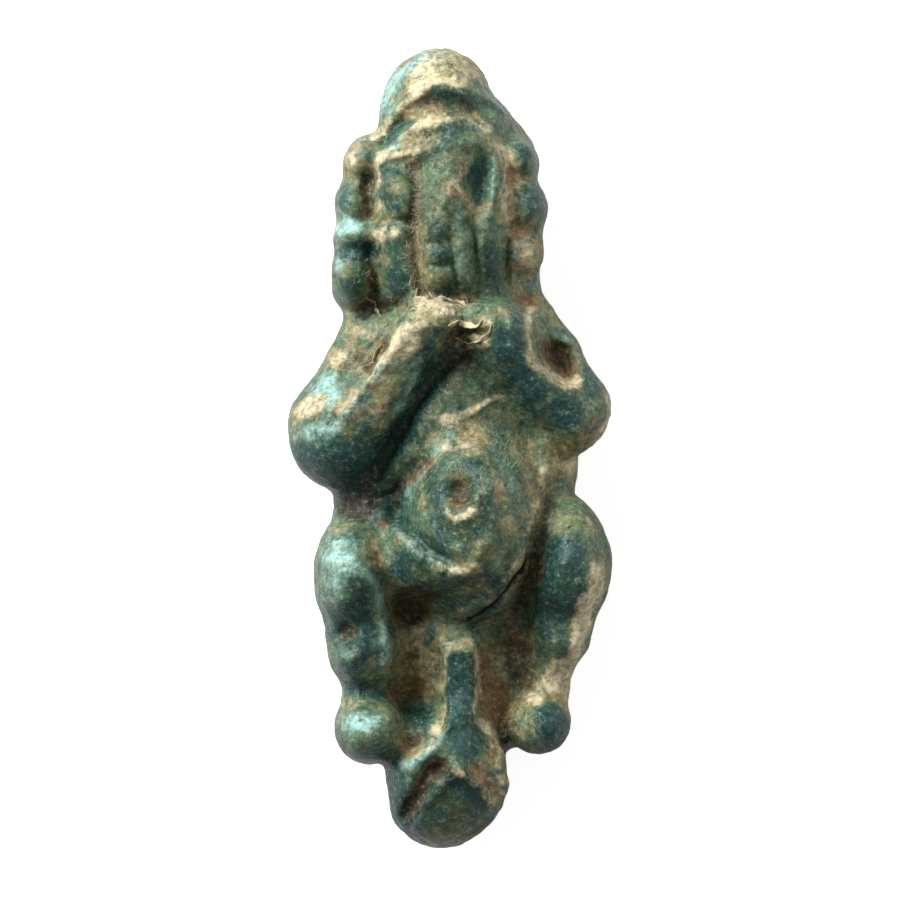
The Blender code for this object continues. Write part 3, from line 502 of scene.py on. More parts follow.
def core(y):
    """Half width and centre of the strip inside the body that the rows spread from."""
    at = (-16, -15.4, -14, -12.4, -11, -9, -5, -2.5, -1, 1, 3, 5, 6.5, 9, 12.5, 14, 15.3, 16)
    half = (0, 0.6, 1.2, 1.5, 2.0, 3.0, 3.4, 3.0, 3.2, 3.9, 3.5, 3.0, 2.9, 2.7, 2.1, 1.5, 0.7, 0)
    middle = (-0.35, -0.35, -0.2, 0, 0.1, 0.15, 0.5, 0.5, -0.5, -0.1, 0.15, 0, -0.5, -0.4, -0.1, -0.3)
    middle += (-0.4, -0.4)
    return np.interp(y, at, half), np.interp(y, at, middle)


def meet(t, u, h):
    """Where the lines of rows t (0 to 1) at angles u meet the figure, as x, y and z in modules.

    A row's lines start on the strip, fan out at its ends, and lie in a plane across the body; towards the
    feet the plane's sides bend down, so that the undersides of the feet get their share of points.
    """
    y = stations(t)
    half, middle = core(y)
    bend = smooth((-5.5 - y) / 4.5)
    dx, dz = np.cos(u) ** 3, np.sin(u)
    direction = np.stack([dx, -bend * np.abs(dx) * (1 - 0.8 * np.abs(dz)), dz])
    direction = direction / np.linalg.norm(direction, axis=0)
    start = np.stack([middle + half * np.cos(u), y, np.full_like(y, MIDDLE)])
    far = np.full_like(y, 11.0)
    for step in range(110):
        far = np.clip(far - 0.38 * figure(start + far * direction, h), 0.02, 11.0)
    return start + far * direction


def beside(p):
    """The mean of each point's four neighbours; the first and last rows are single points."""
    around = (np.roll(p, 1, 2) + np.roll(p, -1, 2)) / 2
    mean = p.copy()
    mean[:, 1:-1] = 0.5 * around[:, 1:-1] + 0.25 * (p[:, 2:] + p[:, :-2])
    mean[:, 0] = p[:, 1].mean(1)[:, None]
    mean[:, -1] = p[:, -2].mean(1)[:, None]
    return mean


def settle(p, h, rounds, ease):
    """Evens the grid out and draws it back onto the figure, by turns: each point moves towards the mean of
    its neighbours, and then along the slope of the figure's distance to where that is nought."""
    reach = 0.04
    for turn in range(rounds):
        if ease:
            p = p + ease * (beside(p) - p)
        f = figure(p, h)
        slope = np.empty_like(p)
        for axis in range(3):
            aside = p.copy()
            aside[axis] += reach
            slope[axis] = (figure(aside, h) - f) / reach
        size = np.linalg.norm(slope, axis=0) + 1e-6
        p = p - slope / size * np.clip(f / np.maximum(size, 0.5), -0.3, 0.3)
    return p


def finer(p, rows, columns):
    """The same closed grid with more rows and columns, by straight steps between its points."""
    old_rows = np.arange(p.shape[1])
    new_rows = np.linspace(0, p.shape[1] - 1, rows + 1)
    i = np.minimum(new_rows.astype(int), p.shape[1] - 2)
    part = (new_rows - i)[None, :, None]
    p = p[:, i] * (1 - part) + p[:, i + 1] * part
    wrapped = np.concatenate([p, p[:, :, :1]], axis=2)
    place = np.arange(columns) / columns * (wrapped.shape[2] - 1)
    j = place.astype(int)
    part = (place - j)[None, None, :]
    return wrapped[:, :, j] * (1 - part) + wrapped[:, :, j + 1] * part


def skin(h, rows, columns, first_rows=96, first_columns=112, back_share=0.3):
    """The skin as a closed grid of points, one row per station, each row going once round the figure.

    A trial pass measures the way round each row, with the back counting for less, and the columns are
    placed at equal shares of it. That coarse grid is evened out on the figure, and then made finer.
    """
    t = np.linspace(0, 1, first_rows + 1)[:, None]
    u = np.linspace(-np.pi / 2, 1.5 * np.pi, 181)[None, :]
    t, u = np.broadcast_arrays(t, u)
    trial = meet(t.copy(), u.copy(), h)
    length = np.linalg.norm(np.diff(trial, axis=2), axis=0)
    length *= back_share + (1 - back_share) * smooth(0.5 + 2 * np.sin(u[:, :-1]))
    for again in range(3):
        length = (length + np.roll(length, 1, 0) + np.roll(length, -1, 0)) / 3
    way = np.concatenate([np.zeros((first_rows + 1, 1)), np.cumsum(length + 0.004, axis=1)], axis=1)
    share = np.arange(first_columns) / first_columns
    p = np.array([[np.interp(share * one[-1], one, row) for one, row in zip(way, flat)] for flat in trial])
    p = settle(p, h, 70, 0.5)
    p = finer(p, rows, columns)
    p = settle(p, h, 8, 0.4)
    return settle(p, h, 2, 0.0)


def head_tones(s):
    """Where the glaze is deep or pale, and where crust and soil lie, on the cap, the face and the locks;
    some pale is painted highlight and some deep is painted shade.
    """
    strokes(s["pale"],
        # Painted highlight: the cap's left slope, which faces the light.
        (1.0, 0.5, (-0.8, 15.7), (-1.7, 15.1), (-2.3, 14.4), (-2.7, 13.6)),
        (0.9, 0.25, (-1.9, 12.25), (-2.4, 11.8), (-2.8, 11.3)),
        (0.5, 0.2, (1.6, 11.6), (1.75, 10.6), (1.65, 9.7)),
        (0.7, 0.25, (3.95, 9.0), (3.8, 7.6), (3.6, 6.4)), (0.6, 0.16, (2.3, 8.8), (2.58, 8.0), (2.55, 6.6)),
        (0.4, (0.45, 7.6), (0.3, 1.1)), (0.35, (-0.2, 9.3), (0.5, 0.5)), (0.6, (-4.4, 9.7), (0.35, 0.5)),
        # The pale on the left beads' tops at y 8.7 and 7.2 is painted highlight.
        (1.9, (-4.15, 8.7), (0.6, 0.34)), (1.0, (-4.5, 7.2), (0.3, 0.5)))
    strokes(s["deep"],
        (0.9, (-0.05, 15.25), (0.33, 0.25)),
        (0.85, 0.2, (-0.6, 13.95), (0.5, 13.9), (1.4, 13.75), (2.1, 13.3)),
        (0.8, (0.35, 13.3), (0.45, 0.15)), (0.9, 0.2, (-1.7, 13.0), (-2.1, 12.7), (-2.5, 12.25)),
        (1.0, (0.3, 12.5), (0.75, 0.35)), (0.9, (-0.1, 11.95), (0.6, 0.3)),
        (0.8, (-2.2, 10.8), (0.35, 0.16)), (1.3, (-2.4, 9.75), (0.42, 0.5)),
        (0.6, (-0.8, 11.5), (0.35, 0.4)), (1.5, (1.1, 10.55), (0.35, 1.05), -4, 3),
        (1.1, (3.0, 11.6), (0.42, 0.55)), (1.2, (3.25, 9.75), (0.5, 0.75)), (1.1, (1.55, 7.3), (0.45, 1.3)),
        (1.2, (-0.45, 8.5), (0.45, 0.5)), (1.2, (-0.4, 7.55), (0.45, 0.4)),
        (1.1, (-0.15, 6.3), (0.5, 0.35)), (0.5, (0.4, 9.0), (0.4, 0.5)), (1.25, (-2.2, 6.85), (0.42, 0.9)),
        # The deep band at y 7.75 under the third left bead and the patch at y 6.25 under the fourth are
        # painted shade, where the beads face down.
        (0.9, (-3.15, 11.65), (0.22, 0.22)), (1.9, (-3.75, 7.75), (0.85, 0.3)),
        (0.9, (-4.3, 9.8), (0.4, 0.5)), (1.0, (-4.0, 6.25), (0.55, 0.35)))
    strokes(s["crust"],
        (1.1, (0.2, 15.35), (1.7, 0.75)), (0.8, (0.5, 14.75), (1.0, 0.35)), (0.7, (-1.3, 14.9), (0.6, 0.6)),
        (0.9, (-1.1, 14.1), (0.45, 0.3), 30), (0.7, (-0.3, 14.35), (0.8, 0.24)),
        (0.9, 0.26, (-1.3, 14.2), (-1.95, 13.5), (-2.5, 12.9), (-2.95, 12.4)),
        (0.4, 0.16, (-1.7, 13.0), (-0.9, 13.15), (0.2, 13.1)),
        (1.0, 0.22, (-1.2, 12.75), (-0.3, 12.85), (0.7, 12.8), (1.4, 12.6)),
        (0.8, 0.3, (-0.7, 12.75), (-1.5, 12.5), (-2.1, 12.05), (-2.7, 11.4)),
        (0.6, (-1.0, 12.1), (0.6, 0.4)), (0.8, 0.2, (-2.7, 11.2), (-2.0, 11.5), (-1.4, 11.6)),
        (0.5, (0.95, 12.5), (0.5, 0.35)), (0.9, 0.16, (-2.85, 11.7), (-2.88, 10.8), (-2.8, 9.5)),
        (0.75, (0.3, 10.65), (0.4, 0.55)), (0.8, 0.1, (0.05, 10.35), (0.4, 9.95), (0.65, 9.4)),
        (0.6, (1.1, 9.35), (0.35, 0.25)),
        (1.15, 0.35, (2.15, 11.8), (2.35, 11.0), (2.3, 10.0), (2.35, 9.2)),
        (0.5, (2.9, 10.6), (0.45, 0.25)), (0.75, (2.95, 7.6), (0.7, 1.4)),
        (1.1, (-2.5, 8.35), (0.75, 0.25)), (0.6, (-2.9, 7.9), (0.25, 0.5)),
        (0.5, 0.35, (-1.3, 9.6), (-1.3, 8.4), (-1.35, 7.2), (-1.1, 6.2)), (0.8, (-3.95, 11.4), (0.55, 0.6)),
        (0.6, (-3.5, 12.3), (0.45, 0.35)), (0.7, 0.3, (-1.4, 5.7), (-0.3, 5.75), (0.7, 5.85)))
    strokes(s["soil"],
        (0.75, 0.2, (-1.7, 13.25), (-0.9, 13.5), (-0.1, 13.45), (0.9, 13.3)),
        (1.1, (-1.5, 11.15), (0.6, 0.32), 12), (1.0, (-1.85, 9.1), (0.5, 0.22)),
        (0.8, (-0.45, 11.1), (0.3, 0.25)), (0.5, (2.8, 9.7), (0.25, 0.6)), (0.4, (1.65, 6.3), (0.3, 0.4)),
        (0.6, (-0.45, 8.3), (0.25, 0.3)), (0.6, (-0.5, 7.7), (0.25, 0.25)),
        (0.8, 0.2, (-1.6, 10.9), (-1.35, 10.0), (-1.5, 9.3)),
        (0.35, 0.16, (-1.5, 9.0), (-1.35, 8.0), (-1.3, 7.0), (-1.2, 6.2)),
        (1.2, 0.3, (-3.3, 10.6), (-3.35, 9.9), (-3.1, 9.3)),
        (1.3, 0.3, (-3.1, 6.9), (-3.1, 6.1), (-3.2, 5.5), (-3.6, 5.4)),
        (0.9, 0.22, (-2.6, 5.6), (-1.2, 6.0), (0.2, 5.8), (0.9, 5.9)))
    strokes(s["rust"],
        (0.8, (0.8, 14.7), (0.35, 0.22)),
        (0.55, 0.25, (-1.8, 13.1), (-1.0, 13.3), (-0.2, 13.25), (0.9, 13.15)),
        (0.35, (0.35, 10.6), (0.3, 0.5)), (0.5, 0.2, (2.3, 11.6), (2.4, 10.8), (2.35, 9.3)),
        (0.8, (2.45, 10.75), (0.3, 0.3)), (0.8, (2.85, 8.6), (0.4, 0.25)), (0.35, (2.9, 7.6), (0.6, 1.2)),
        (0.6, (3.0, 5.95), (0.4, 0.25)), (0.55, 0.22, (-1.35, 8.8), (-1.3, 7.6), (-1.2, 6.4)),
        (0.7, (-3.1, 9.4), (0.4, 0.3)), (0.5, (-4.2, 11.1), (0.35, 0.35)))
    strokes(s["olive"],
        (0.6, (0.3, 15.3), (1.4, 0.6)), (0.7, (-0.4, 14.8), (0.6, 0.2)),
        (0.6, 0.3, (0.3, 15.75), (0.9, 15.45), (1.35, 14.9)),
        (0.6, 0.2, (-1.9, 13.0), (-1.0, 13.1), (0.2, 13.0), (1.1, 12.85)),
        (0.35, 0.4, (-0.9, 12.6), (-1.6, 12.2), (-2.3, 11.5)), (0.6, (-0.9, 12.2), (0.7, 0.4)),
        (1.0, (-2.1, 10.3), (0.5, 0.35)), (1.0, (-0.5, 6.6), (0.5, 0.4)),
        (0.7, 0.3, (-1.35, 9.0), (-1.3, 7.6), (-1.2, 6.2)), (0.45, (-0.1, 9.3), (2.2, 3.0)),
        (1.1, (-3.65, 10.7), (0.3, 0.25)), (0.8, (-4.1, 6.8), (0.5, 0.35)))


def arm_tones(s):
    """The same for the arms, the hands and the chest; the deep, soil and black under the forearms and the
    left elbow are partly painted shade, and some pale on the left elbow is painted highlight.
    """
    strokes(s["pale"],
        (0.8, 0.4, (-4.0, 1.4), (-3.1, 2.4), (-2.3, 3.4), (-1.7, 4.2)),
        (0.7, 0.25, (-2.3, 1.6), (-1.7, 2.6), (-1.0, 3.7)), (0.5, (4.5, 4.4), (0.5, 0.5)),
        (0.5, (-4.8, 2.6), (0.7, 0.9)), (1.2, (-5.1, 2.2), (0.5, 0.6)),
        # Painted highlight on the left side of the left elbow.
        (0.85, (-5.3, 0.7), (1.0, 0.45), 15))
    strokes(s["deep"],
        (1.1, (-1.0, 3.95), (0.32, 0.32), 30),
        # The deep along the groove under the left forearm is glaze pooled in the groove and painted shade.
        (1.7, 0.45, (-0.6, 2.9), (-1.5, 1.4), (-2.3, 0.3), (-3.1, -0.6)), (0.7, (1.95, 4.3), (0.5, 0.5)),
        # The deep band from (2.2, 3.9) to (4.8, 1.3) is the painted shadow of the right forearm on the
        # chest.
        (1.0, (2.65, 4.8), (0.35, 0.6)), (1.1, 0.7, (2.2, 3.9), (3.2, 2.4), (4.8, 1.3)),
        # The deep at (-4.9, -0.6) is painted shade on the underside of the left elbow.
        (0.8, (5.6, 2.6), (0.5, 0.6)), (1.0, (0.3, 3.1), (0.9, 0.9)), (1.7, (-4.9, -0.6), (1.6, 0.75), -15),
        # The deep at (-3.5, -2.1) is painted shade in the recess under the left elbow.
        (0.7, (-4.2, 0.5), (1.2, 0.6), 20), (0.7, (-3.9, 0.1), (0.6, 0.6)), (1.8, (-3.5, -2.1), (1.3, 0.8)))
    strokes(s["crust"],
        (0.75, (-1.2, 5.0), (0.9, 0.5), 30),
        (0.6, 0.26, (-4.2, 1.5), (-3.5, 2.4), (-2.7, 3.4), (-1.95, 4.3)),
        (0.45, 0.6, (-3.8, 1.2), (-3.0, 2.3), (-2.1, 3.4)),
        (1.0, 0.2, (-1.3, 5.5), (-0.6, 5.4), (0.1, 5.3)),
        (0.85, 0.2, (-2.3, 4.1), (-1.9, 4.6), (-1.4, 4.95), (-0.8, 5.3)),
        (1.4, (-1.75, 4.1), (0.45, 0.4), 30), (0.5, (-2.8, 1.2), (0.5, 0.6)),
        (1.0, (0.4, 4.25), (0.45, 0.18)), (1.2, 0.13, (0.0, 4.8), (0.3, 4.98), (0.7, 4.9)),
        (1.2, 0.12, (1.2, 4.95), (1.5, 4.7), (1.4, 4.25), (1.1, 4.2)),
        (0.9, 0.2, (3.1, 5.6), (3.2, 4.9), (3.2, 4.1), (3.4, 3.4), (3.9, 2.9), (4.6, 2.5), (5.0, 2.6)),
        (0.8, (2.9, 3.4), (0.35, 0.35)), (1.3, (5.0, 2.75), (0.35, 0.3)), (0.8, (5.45, 1.6), (0.25, 0.7)),
        (0.9, 0.16, (6.25, 2.2), (6.3, 1.2), (5.8, 0.2)), (1.05, (4.7, -0.4), (0.8, 0.6), 30),
        (0.5, (0.9, 2.3), (0.5, 0.25)),
        (1.2, 0.13, (-0.25, 1.3), (0.35, 1.35), (0.9, 1.4), (1.5, 1.75), (2.1, 2.15)),
        (1.0, (-0.2, 1.15), (0.35, 0.25)), (0.5, (0.6, 0.5), (0.8, 0.6)),
        (1.1, (-4.5, 3.45), (0.65, 0.35), 30), (1.5, (-5.65, 1.75), (0.75, 0.42), 28, 3),
        (0.8, (-4.55, 1.6), (0.25, 0.4)), (0.35, (-3.1, 4.6), (0.8, 0.3)),
        (0.55, (-3.8, 4.6), (0.6, 0.3), -20))
    strokes(s["soil"],
        (0.5, 0.25, (-3.9, 1.3), (-3.1, 2.3), (-2.4, 3.2)),
        (0.35, 0.3, (-0.8, 2.7), (-1.5, 1.6), (-2.4, 0.4), (-3.0, -0.6)), (1.2, (0.75, 4.62), (0.62, 0.14)),
        (0.8, (0.5, 3.8), (0.7, 0.4)), (1.0, (4.1, 3.65), (0.95, 0.5), -49, 3),
        (0.55, (3.25, 2.25), (0.3, 0.25)), (0.45, (0.3, 3.3), (0.8, 0.7)), (0.8, (-3.6, 3.5), (0.45, 0.35)),
        # The soil under the left elbow at (-3.6, -2.4) is soil and painted shade.
        (0.8, (-3.3, -1.2), (1.0, 0.6), -15), (1.8, (-3.6, -2.4), (0.9, 0.55)),
        (1.3, 0.17, (-3.2, 3.1), (-2.9, 3.6), (-2.65, 4.1)))
    strokes(s["rust"],
        (0.7, (0.6, 4.3), (0.55, 0.16)), (0.8, (3.05, 5.85), (0.5, 0.3)),
        (1.5, (4.3, 3.4), (0.9, 0.42), -49), (0.4, (0.6, 0.35), (0.7, 0.4)),
        (0.6, 0.14, (-3.35, 3.2), (-3.1, 3.7), (-2.9, 4.1)))
    strokes(s["olive"],
        (0.8, (-1.0, 5.1), (0.7, 0.45), 30), (0.7, 0.6, (-4.0, 0.9), (-3.0, 2.0), (-2.1, 3.1)),
        (0.7, (0.4, 4.2), (0.5, 0.2)), (0.5, (1.5, 5.3), (0.5, 0.4)), (0.5, (4.0, 4.8), (0.6, 0.7)),
        (1.1, (4.5, 0.0), (0.9, 0.6), 20), (0.6, (0.2, 2.8), (0.9, 0.9)))
    strokes(s["black"],
        # Both black marks are painted shade: in the groove under the left forearm and under the left elbow.
        (0.4, 0.22, (-1.0, 2.0), (-1.7, 1.0), (-2.3, 0.1)), (0.5, (-3.5, -2.2), (0.9, 0.5)))


def belly_tones(s):
    """The same for the belly, its disc, the navel and the fold; the deep under the fold is painted shade."""
    strokes(s["pale"],
        (0.7, 0.26, (0.0, 0.5), (-0.8, -0.5), (-1.5, -1.5), (-1.85, -2.2)),
        (0.7, 0.25, (-2.4, -2.7), (-1.7, -3.5), (-0.9, -4.3)), (0.5, (1.7, -4.5), (0.3, 0.3)),
        (0.3, 0.5, (1.6, -0.2), (2.5, -1.3), (2.8, -2.6)))
    strokes(s["deep"],
        (1.2, (0.35, -2.3), (1.35, 1.9), 0, 4), (1.1, 0.26, (-1.9, -2.9), (-1.3, -3.6), (-0.5, -4.1)),
        # Painted shade under the belly's fold, where the lower belly faces down.
        (1.5, 0.5, (-1.9, -4.6), (-0.8, -5.4), (0.6, -5.8), (1.6, -5.3)))
    strokes(s["crust"],
        (0.5, 0.3, (2.4, 0.2), (3.0, -1.0), (3.2, -2.4)),
        (0.6, 0.18, (-0.3, 0.1), (-0.85, -0.7), (-1.15, -1.7), (-1.05, -2.5)),
        (0.55, 0.2, (-0.2, 0.1), (0.6, 0.0), (1.3, -0.4), (1.8, -1.3)),
        (0.9, (1.75, -1.5), (0.25, 0.5), 20), (0.7, (0.9, -4.2), (0.4, 0.3)),
        (1.8, 0.17, (-0.2, -2.3), (0.05, -2.65), (0.45, -2.75), (0.9, -2.55)),
        (0.7, (0.45, -2.35), (0.35, 0.25)),
        (0.9, 0.2, (-2.0, -3.3), (-1.2, -4.15), (-0.4, -4.7), (0.3, -4.85), (0.9, -4.6)),
        (0.7, (2.15, -2.8), (0.35, 0.5)),
        (0.6, 0.2, (3.7, -0.9), (3.45, -2.4), (2.9, -3.9), (1.9, -5.4), (0.9, -6.2), (0.1, -6.55)),
        (0.4, (-2.4, -5.4), (0.3, 0.9)))
    strokes(s["soil"],
        (1.9, (0.42, -1.75), (0.45, 0.5), 10, 3), (0.7, 0.3, (-0.9, -0.5), (-1.6, -1.1), (-2.2, -1.8)),
        (1.6, (-1.3, -5.9), (1.0, 0.6), 6, 3), (0.9, (3.5, -3.0), (0.45, 1.6), -12),
        (1.0, (3.1, -5.4), (0.7, 1.5), -20))
    strokes(s["rust"],
        (0.6, (1.75, -1.6), (0.25, 0.4)), (1.0, (0.35, -2.05), (0.4, 0.3)),
        (0.8, 0.25, (-0.7, -0.5), (-1.2, -0.9), (-1.6, -1.5)), (1.0, (-1.75, -6.5), (0.7, 0.4)),
        (1.1, (-2.65, -2.95), (0.2, 0.25)), (1.1, (-2.88, -4.4), (0.16, 0.4)))
    strokes(s["olive"],
        (0.55, (0.35, -2.3), (1.5, 2.0)), (1.1, (1.15, -4.0), (0.5, 0.4), 20),
        (0.6, (0.4, -1.2), (0.5, 0.35)), (0.5, 0.4, (-1.5, -4.9), (-0.4, -5.5), (1.0, -5.6)),
        (0.6, (1.3, -5.3), (0.6, 0.5)))
    strokes(s["black"],
        (1.3, 0.12, (2.85, -4.5), (2.5, -5.15), (1.9, -5.9), (1.1, -6.5), (0.0, -6.95), (-0.7, -6.95)))


def leg_tones(s):
    """The same for the legs, the feet, the shaft and the hollows beside it; the pale on the left thigh, shin
    and foot is partly painted highlight, and the deep at the left ankle is painted shade.
    """
    strokes(s["pale"],
        # The pale at (-4.4, -4.3) is a painted highlight on the left thigh's upper left.
        (1.0, (-4.4, -4.3), (0.9, 1.0)), (0.5, (-4.9, -5.7), (0.6, 0.8)),
        (0.9, 0.22, (-3.1, -5.0), (-2.75, -6.3), (-2.6, -7.8), (-2.65, -8.6)),
        # Painted highlights under the knee's dimple and on the top of the left foot.
        (0.6, (-4.3, -8.1), (0.45, 0.25)), (1.3, (-3.6, -10.85), (0.9, 0.5), 12))
    strokes(s["deep"],
        (0.8, (-4.4, -6.5), (0.9, 0.5), 20), (0.8, 0.3, (-3.7, -5.4), (-3.4, -6.6), (-3.2, -8.0)),
        (1.4, (-4.12, -7.3), (0.8, 0.6)), (1.0, (-4.2, -8.75), (0.9, 0.5)),
        # The deep line at y -9.6 is the painted shade of the left ankle's fold.
        (1.3, (-3.5, -9.6), (0.8, 0.25), -8), (0.7, (-3.4, -12.0), (1.0, 0.35)),
        (1.0, (-0.7, -7.5), (0.3, 0.4)), (1.5, (-1.15, -10.75), (0.4, 0.4)),
        (2.3, (4.45, -5.4), (0.72, 2.0), -8, 3), (1.6, (4.05, -10.95), (0.62, 0.72), 0, 4),
        (0.8, (4.0, -11.8), (0.7, 0.4)))
    strokes(s["crust"],
        (0.8, (-4.0, -7.7), (0.3, 0.2)), (0.5, (-4.2, -10.1), (0.4, 0.35)), (0.7, (-1.5, -8.4), (0.8, 1.6)),
        (1.3, (-0.55, -11.15), (0.2, 0.2)), (0.7, (0.4, -7.75), (0.9, 0.35)),
        (0.7, 0.14, (-0.3, -8.2), (-0.32, -9.5), (-0.3, -10.7)),
        (0.8, 0.16, (1.1, -8.2), (1.1, -9.5), (1.1, -10.6), (1.6, -11.2)), (0.7, (1.6, -8.9), (0.5, 0.8)),
        (0.4, (2.0, -8.4), (0.8, 1.0)), (0.9, (5.6, -3.1), (0.5, 0.3), -50),
        (1.4, (5.45, -6.1), (0.5, 0.8), -15),
        (1.5, 0.34, (5.95, -4.8), (5.75, -5.7), (5.4, -6.8), (4.95, -7.9), (4.75, -8.8), (4.4, -9.6)),
        (0.8, 0.3, (4.3, -8.7), (3.9, -9.4), (3.4, -9.9)), (0.9, (3.4, -10.1), (0.5, 0.3)),
        (0.6, (4.75, -10.3), (0.2, 0.7)))
    strokes(s["soil"],
        (1.8, (-4.12, -7.35), (0.34, 0.36)), (0.6, (-1.5, -8.0), (0.8, 1.3)),
        (1.2, (-1.4, -11.5), (0.5, 0.3), 25), (0.7, (2.4, -7.7), (0.9, 0.7), -30),
        (1.3, (2.9, -8.8), (0.7, 1.0), 10), (0.9, (2.4, -11.0), (0.6, 0.8), 20))
    strokes(s["rust"],
        (0.5, (-1.6, -8.4), (0.6, 1.2)), (0.9, (-2.35, -9.75), (0.35, 0.3)),
        (0.9, (-1.5, -9.7), (0.7, 0.4)), (0.7, (-1.6, -11.9), (0.4, 0.4)),
        (1.7, (1.85, -10.1), (0.65, 0.8)), (0.9, 0.3, (1.5, -8.4), (1.5, -9.3), (1.9, -10.4), (2.2, -11.3)))
    strokes(s["olive"],
        (0.7, (-1.6, -8.6), (0.9, 1.6)), (1.0, (1.9, -8.3), (0.9, 1.2)), (1.2, (2.9, -10.2), (0.3, 0.3)),
        (0.7, (4.9, -2.9), (0.9, 0.7)))
    strokes(s["black"],
        (0.9, (-0.65, -11.4), (0.13, 0.13)))
    where, x, y = patch((-1, -11.6), (2, -8))
    bar = inside(x + 0.14, 0.2) * inside(0.92 - x, 0.2) * inside(-8.2 - y, 0.2) * inside(y + 10.9, 0.6)
    s["deep"][where] += 1.3 * bar
    s["crust"][where] -= 0.8 * bar


def tip_tones(s):
    """The same for the rounded end and the hood over it; the deep and black along the end's left edge are
    the painted shadow of the left foot, and the pale on the hood's left ridge is partly painted highlight.
    """
    strokes(s["pale"],
        # Pale on the hood's left ridge: thin glaze and painted highlight.
        (0.9, 0.3, (-0.4, -11.4), (-1.0, -12.0), (-1.7, -12.5)),
        (0.6, 0.2, (-1.3, -14.7), (-0.7, -13.8), (0.0, -12.95)))
    strokes(s["deep"],
        (1.2, (0.55, -11.6), (0.8, 0.75), 0, 3),
        # Painted shadow of the left foot on the end's left edge.
        (2.6, 0.5, (-2.4, -12.9), (-2.4, -13.7), (-2.1, -14.8), (-1.5, -15.6)),
        (1.8, (0.1, -14.5), (1.5, 1.5), 0, 3))
    strokes(s["crust"],
        (0.7, 0.2, (-0.3, -11.0), (-0.8, -11.6), (-1.5, -12.1)),
        (1.0, 0.22, (1.15, -11.0), (1.6, -11.4), (1.95, -12.1), (2.1, -13.2)),
        (1.1, 0.24, (0.9, -12.7), (1.45, -13.2), (1.9, -13.8)),
        (0.9, 0.16, (-1.55, -15.0), (-1.1, -14.3), (-0.5, -13.5), (0.1, -12.85), (0.3, -12.8)),
        (0.9, 0.15, (0.25, -12.8), (0.7, -13.2), (1.25, -13.75), (1.7, -14.2)))
    strokes(s["soil"],
        (1.7, 0.34, (-0.3, -12.6), (-0.9, -13.1), (-1.4, -13.9), (-1.7, -14.5)),
        (0.4, (-0.6, -14.6), (0.5, 0.6)))
    strokes(s["rust"],
        (0.9, (1.1, -12.75), (0.4, 0.35)), (0.9, 0.22, (1.2, -13.0), (1.6, -13.5), (1.9, -13.9)),
        (0.8, 0.3, (-0.5, -12.5), (-1.1, -13.2), (-1.6, -13.9)), (0.9, (1.2, -14.9), (0.25, 0.2), 40))
    strokes(s["olive"],
        (0.55, (0.1, -14.6), (1.3, 1.2)), (0.8, (-0.3, -15.6), (1.1, 0.4)))
    strokes(s["black"],
        (0.6, 0.22, (-0.8, -13.0), (-1.4, -13.8)),
        # Painted shadow of the left foot on the end's left edge.
        (0.55, 0.3, (-2.35, -13.1), (-2.2, -14.1), (-1.8, -15.1)))


TONES = ("pale", "deep", "crust", "soil", "rust", "olive", "black")


def lay_tones():
    """The tones as a sheet each: higher where that finish, or the painted highlight or shade that some tones
    also carry, is more likely to show.
    """
    s = {name: new_sheet() for name in TONES}
    for part in (head_tones, arm_tones, belly_tones, leg_tones, tip_tones):
        part(s)
    return {name: wandering(s[name], 0.13, 40) for name in TONES}


def facing(p):
    """The outward normal at each point of the grid: across the row times along the columns."""
    across = np.roll(p, -1, 2) - np.roll(p, 1, 2)
    along = np.empty_like(p)
    along[:, 1:-1] = p[:, 2:] - p[:, :-2]
    along[:, 0] = p[:, 1] - p[:, 0]
    along[:, -1] = p[:, -1] - p[:, -2]
    n = np.cross(across, along, axis=0)
    n[:, 0] = np.array([0, 1, 0])[:, None]
    n[:, -1] = np.array([0, -1, 0])[:, None]
    return n / (np.linalg.norm(n, axis=0) + 1e-12)


def hollows(p, n, rounds):
    """How far the evened-out skin lies above the skin itself: above 0 in hollows, below 0 on ridges."""
    mean = p
    for turn in range(rounds):
        mean = beside(mean)
    return ((mean - p) * n).sum(0)


def weathered(p, values):
    """The skin with the small lumps and dents of a moulded and worn surface, pushed along its normals; it is
    rougher under crust and soil."""
    n = facing(p)
    lift = 0.07 * noise(p, 1.5, 3) + 0.05 * noise(p, 0.75, 5)
    lift = lift + 0.026 * noise(p, 0.36, 7) + 0.012 * noise(p, 0.2, 9)
    coarse = smooth(values["crust"] + values["soil"] + values["rust"] - values["deep"])
    lift = lift + coarse * (0.05 * noise(p, 0.42, 11) + 0.035 * noise(p, 0.22, 13))
    lift = lift * smooth((p[2] - 0.05) / 0.5)
    return p + n * lift


def tone_values(p, s):
    """Each tone at each point: from the sheets on the front, and from broad random patches at the sides
    and back."""
    x, y, z = p
    front = smooth((z - 1.6) / 1.6)
    values = {name: read_sheet(s[name], x, y) * front for name in TONES}
    aside = 1 - front
    crusted = 0.55 + 0.9 * noise(p, 2.2, 21) + 0.4 * noise(p, 0.9, 22)
    for name, likely, most in (
        ("crust", crusted, 0.9),
        ("deep", 0.4 + noise(p, 2.6, 23), 0.8),
        ("pale", 0.3 + noise(p, 1.8, 24), 0.7),
        ("soil", -0.1 + noise(p, 1.2, 25), 0.8),
    ):
        values[name] = values[name] + aside * smooth(likely) * most
    return values


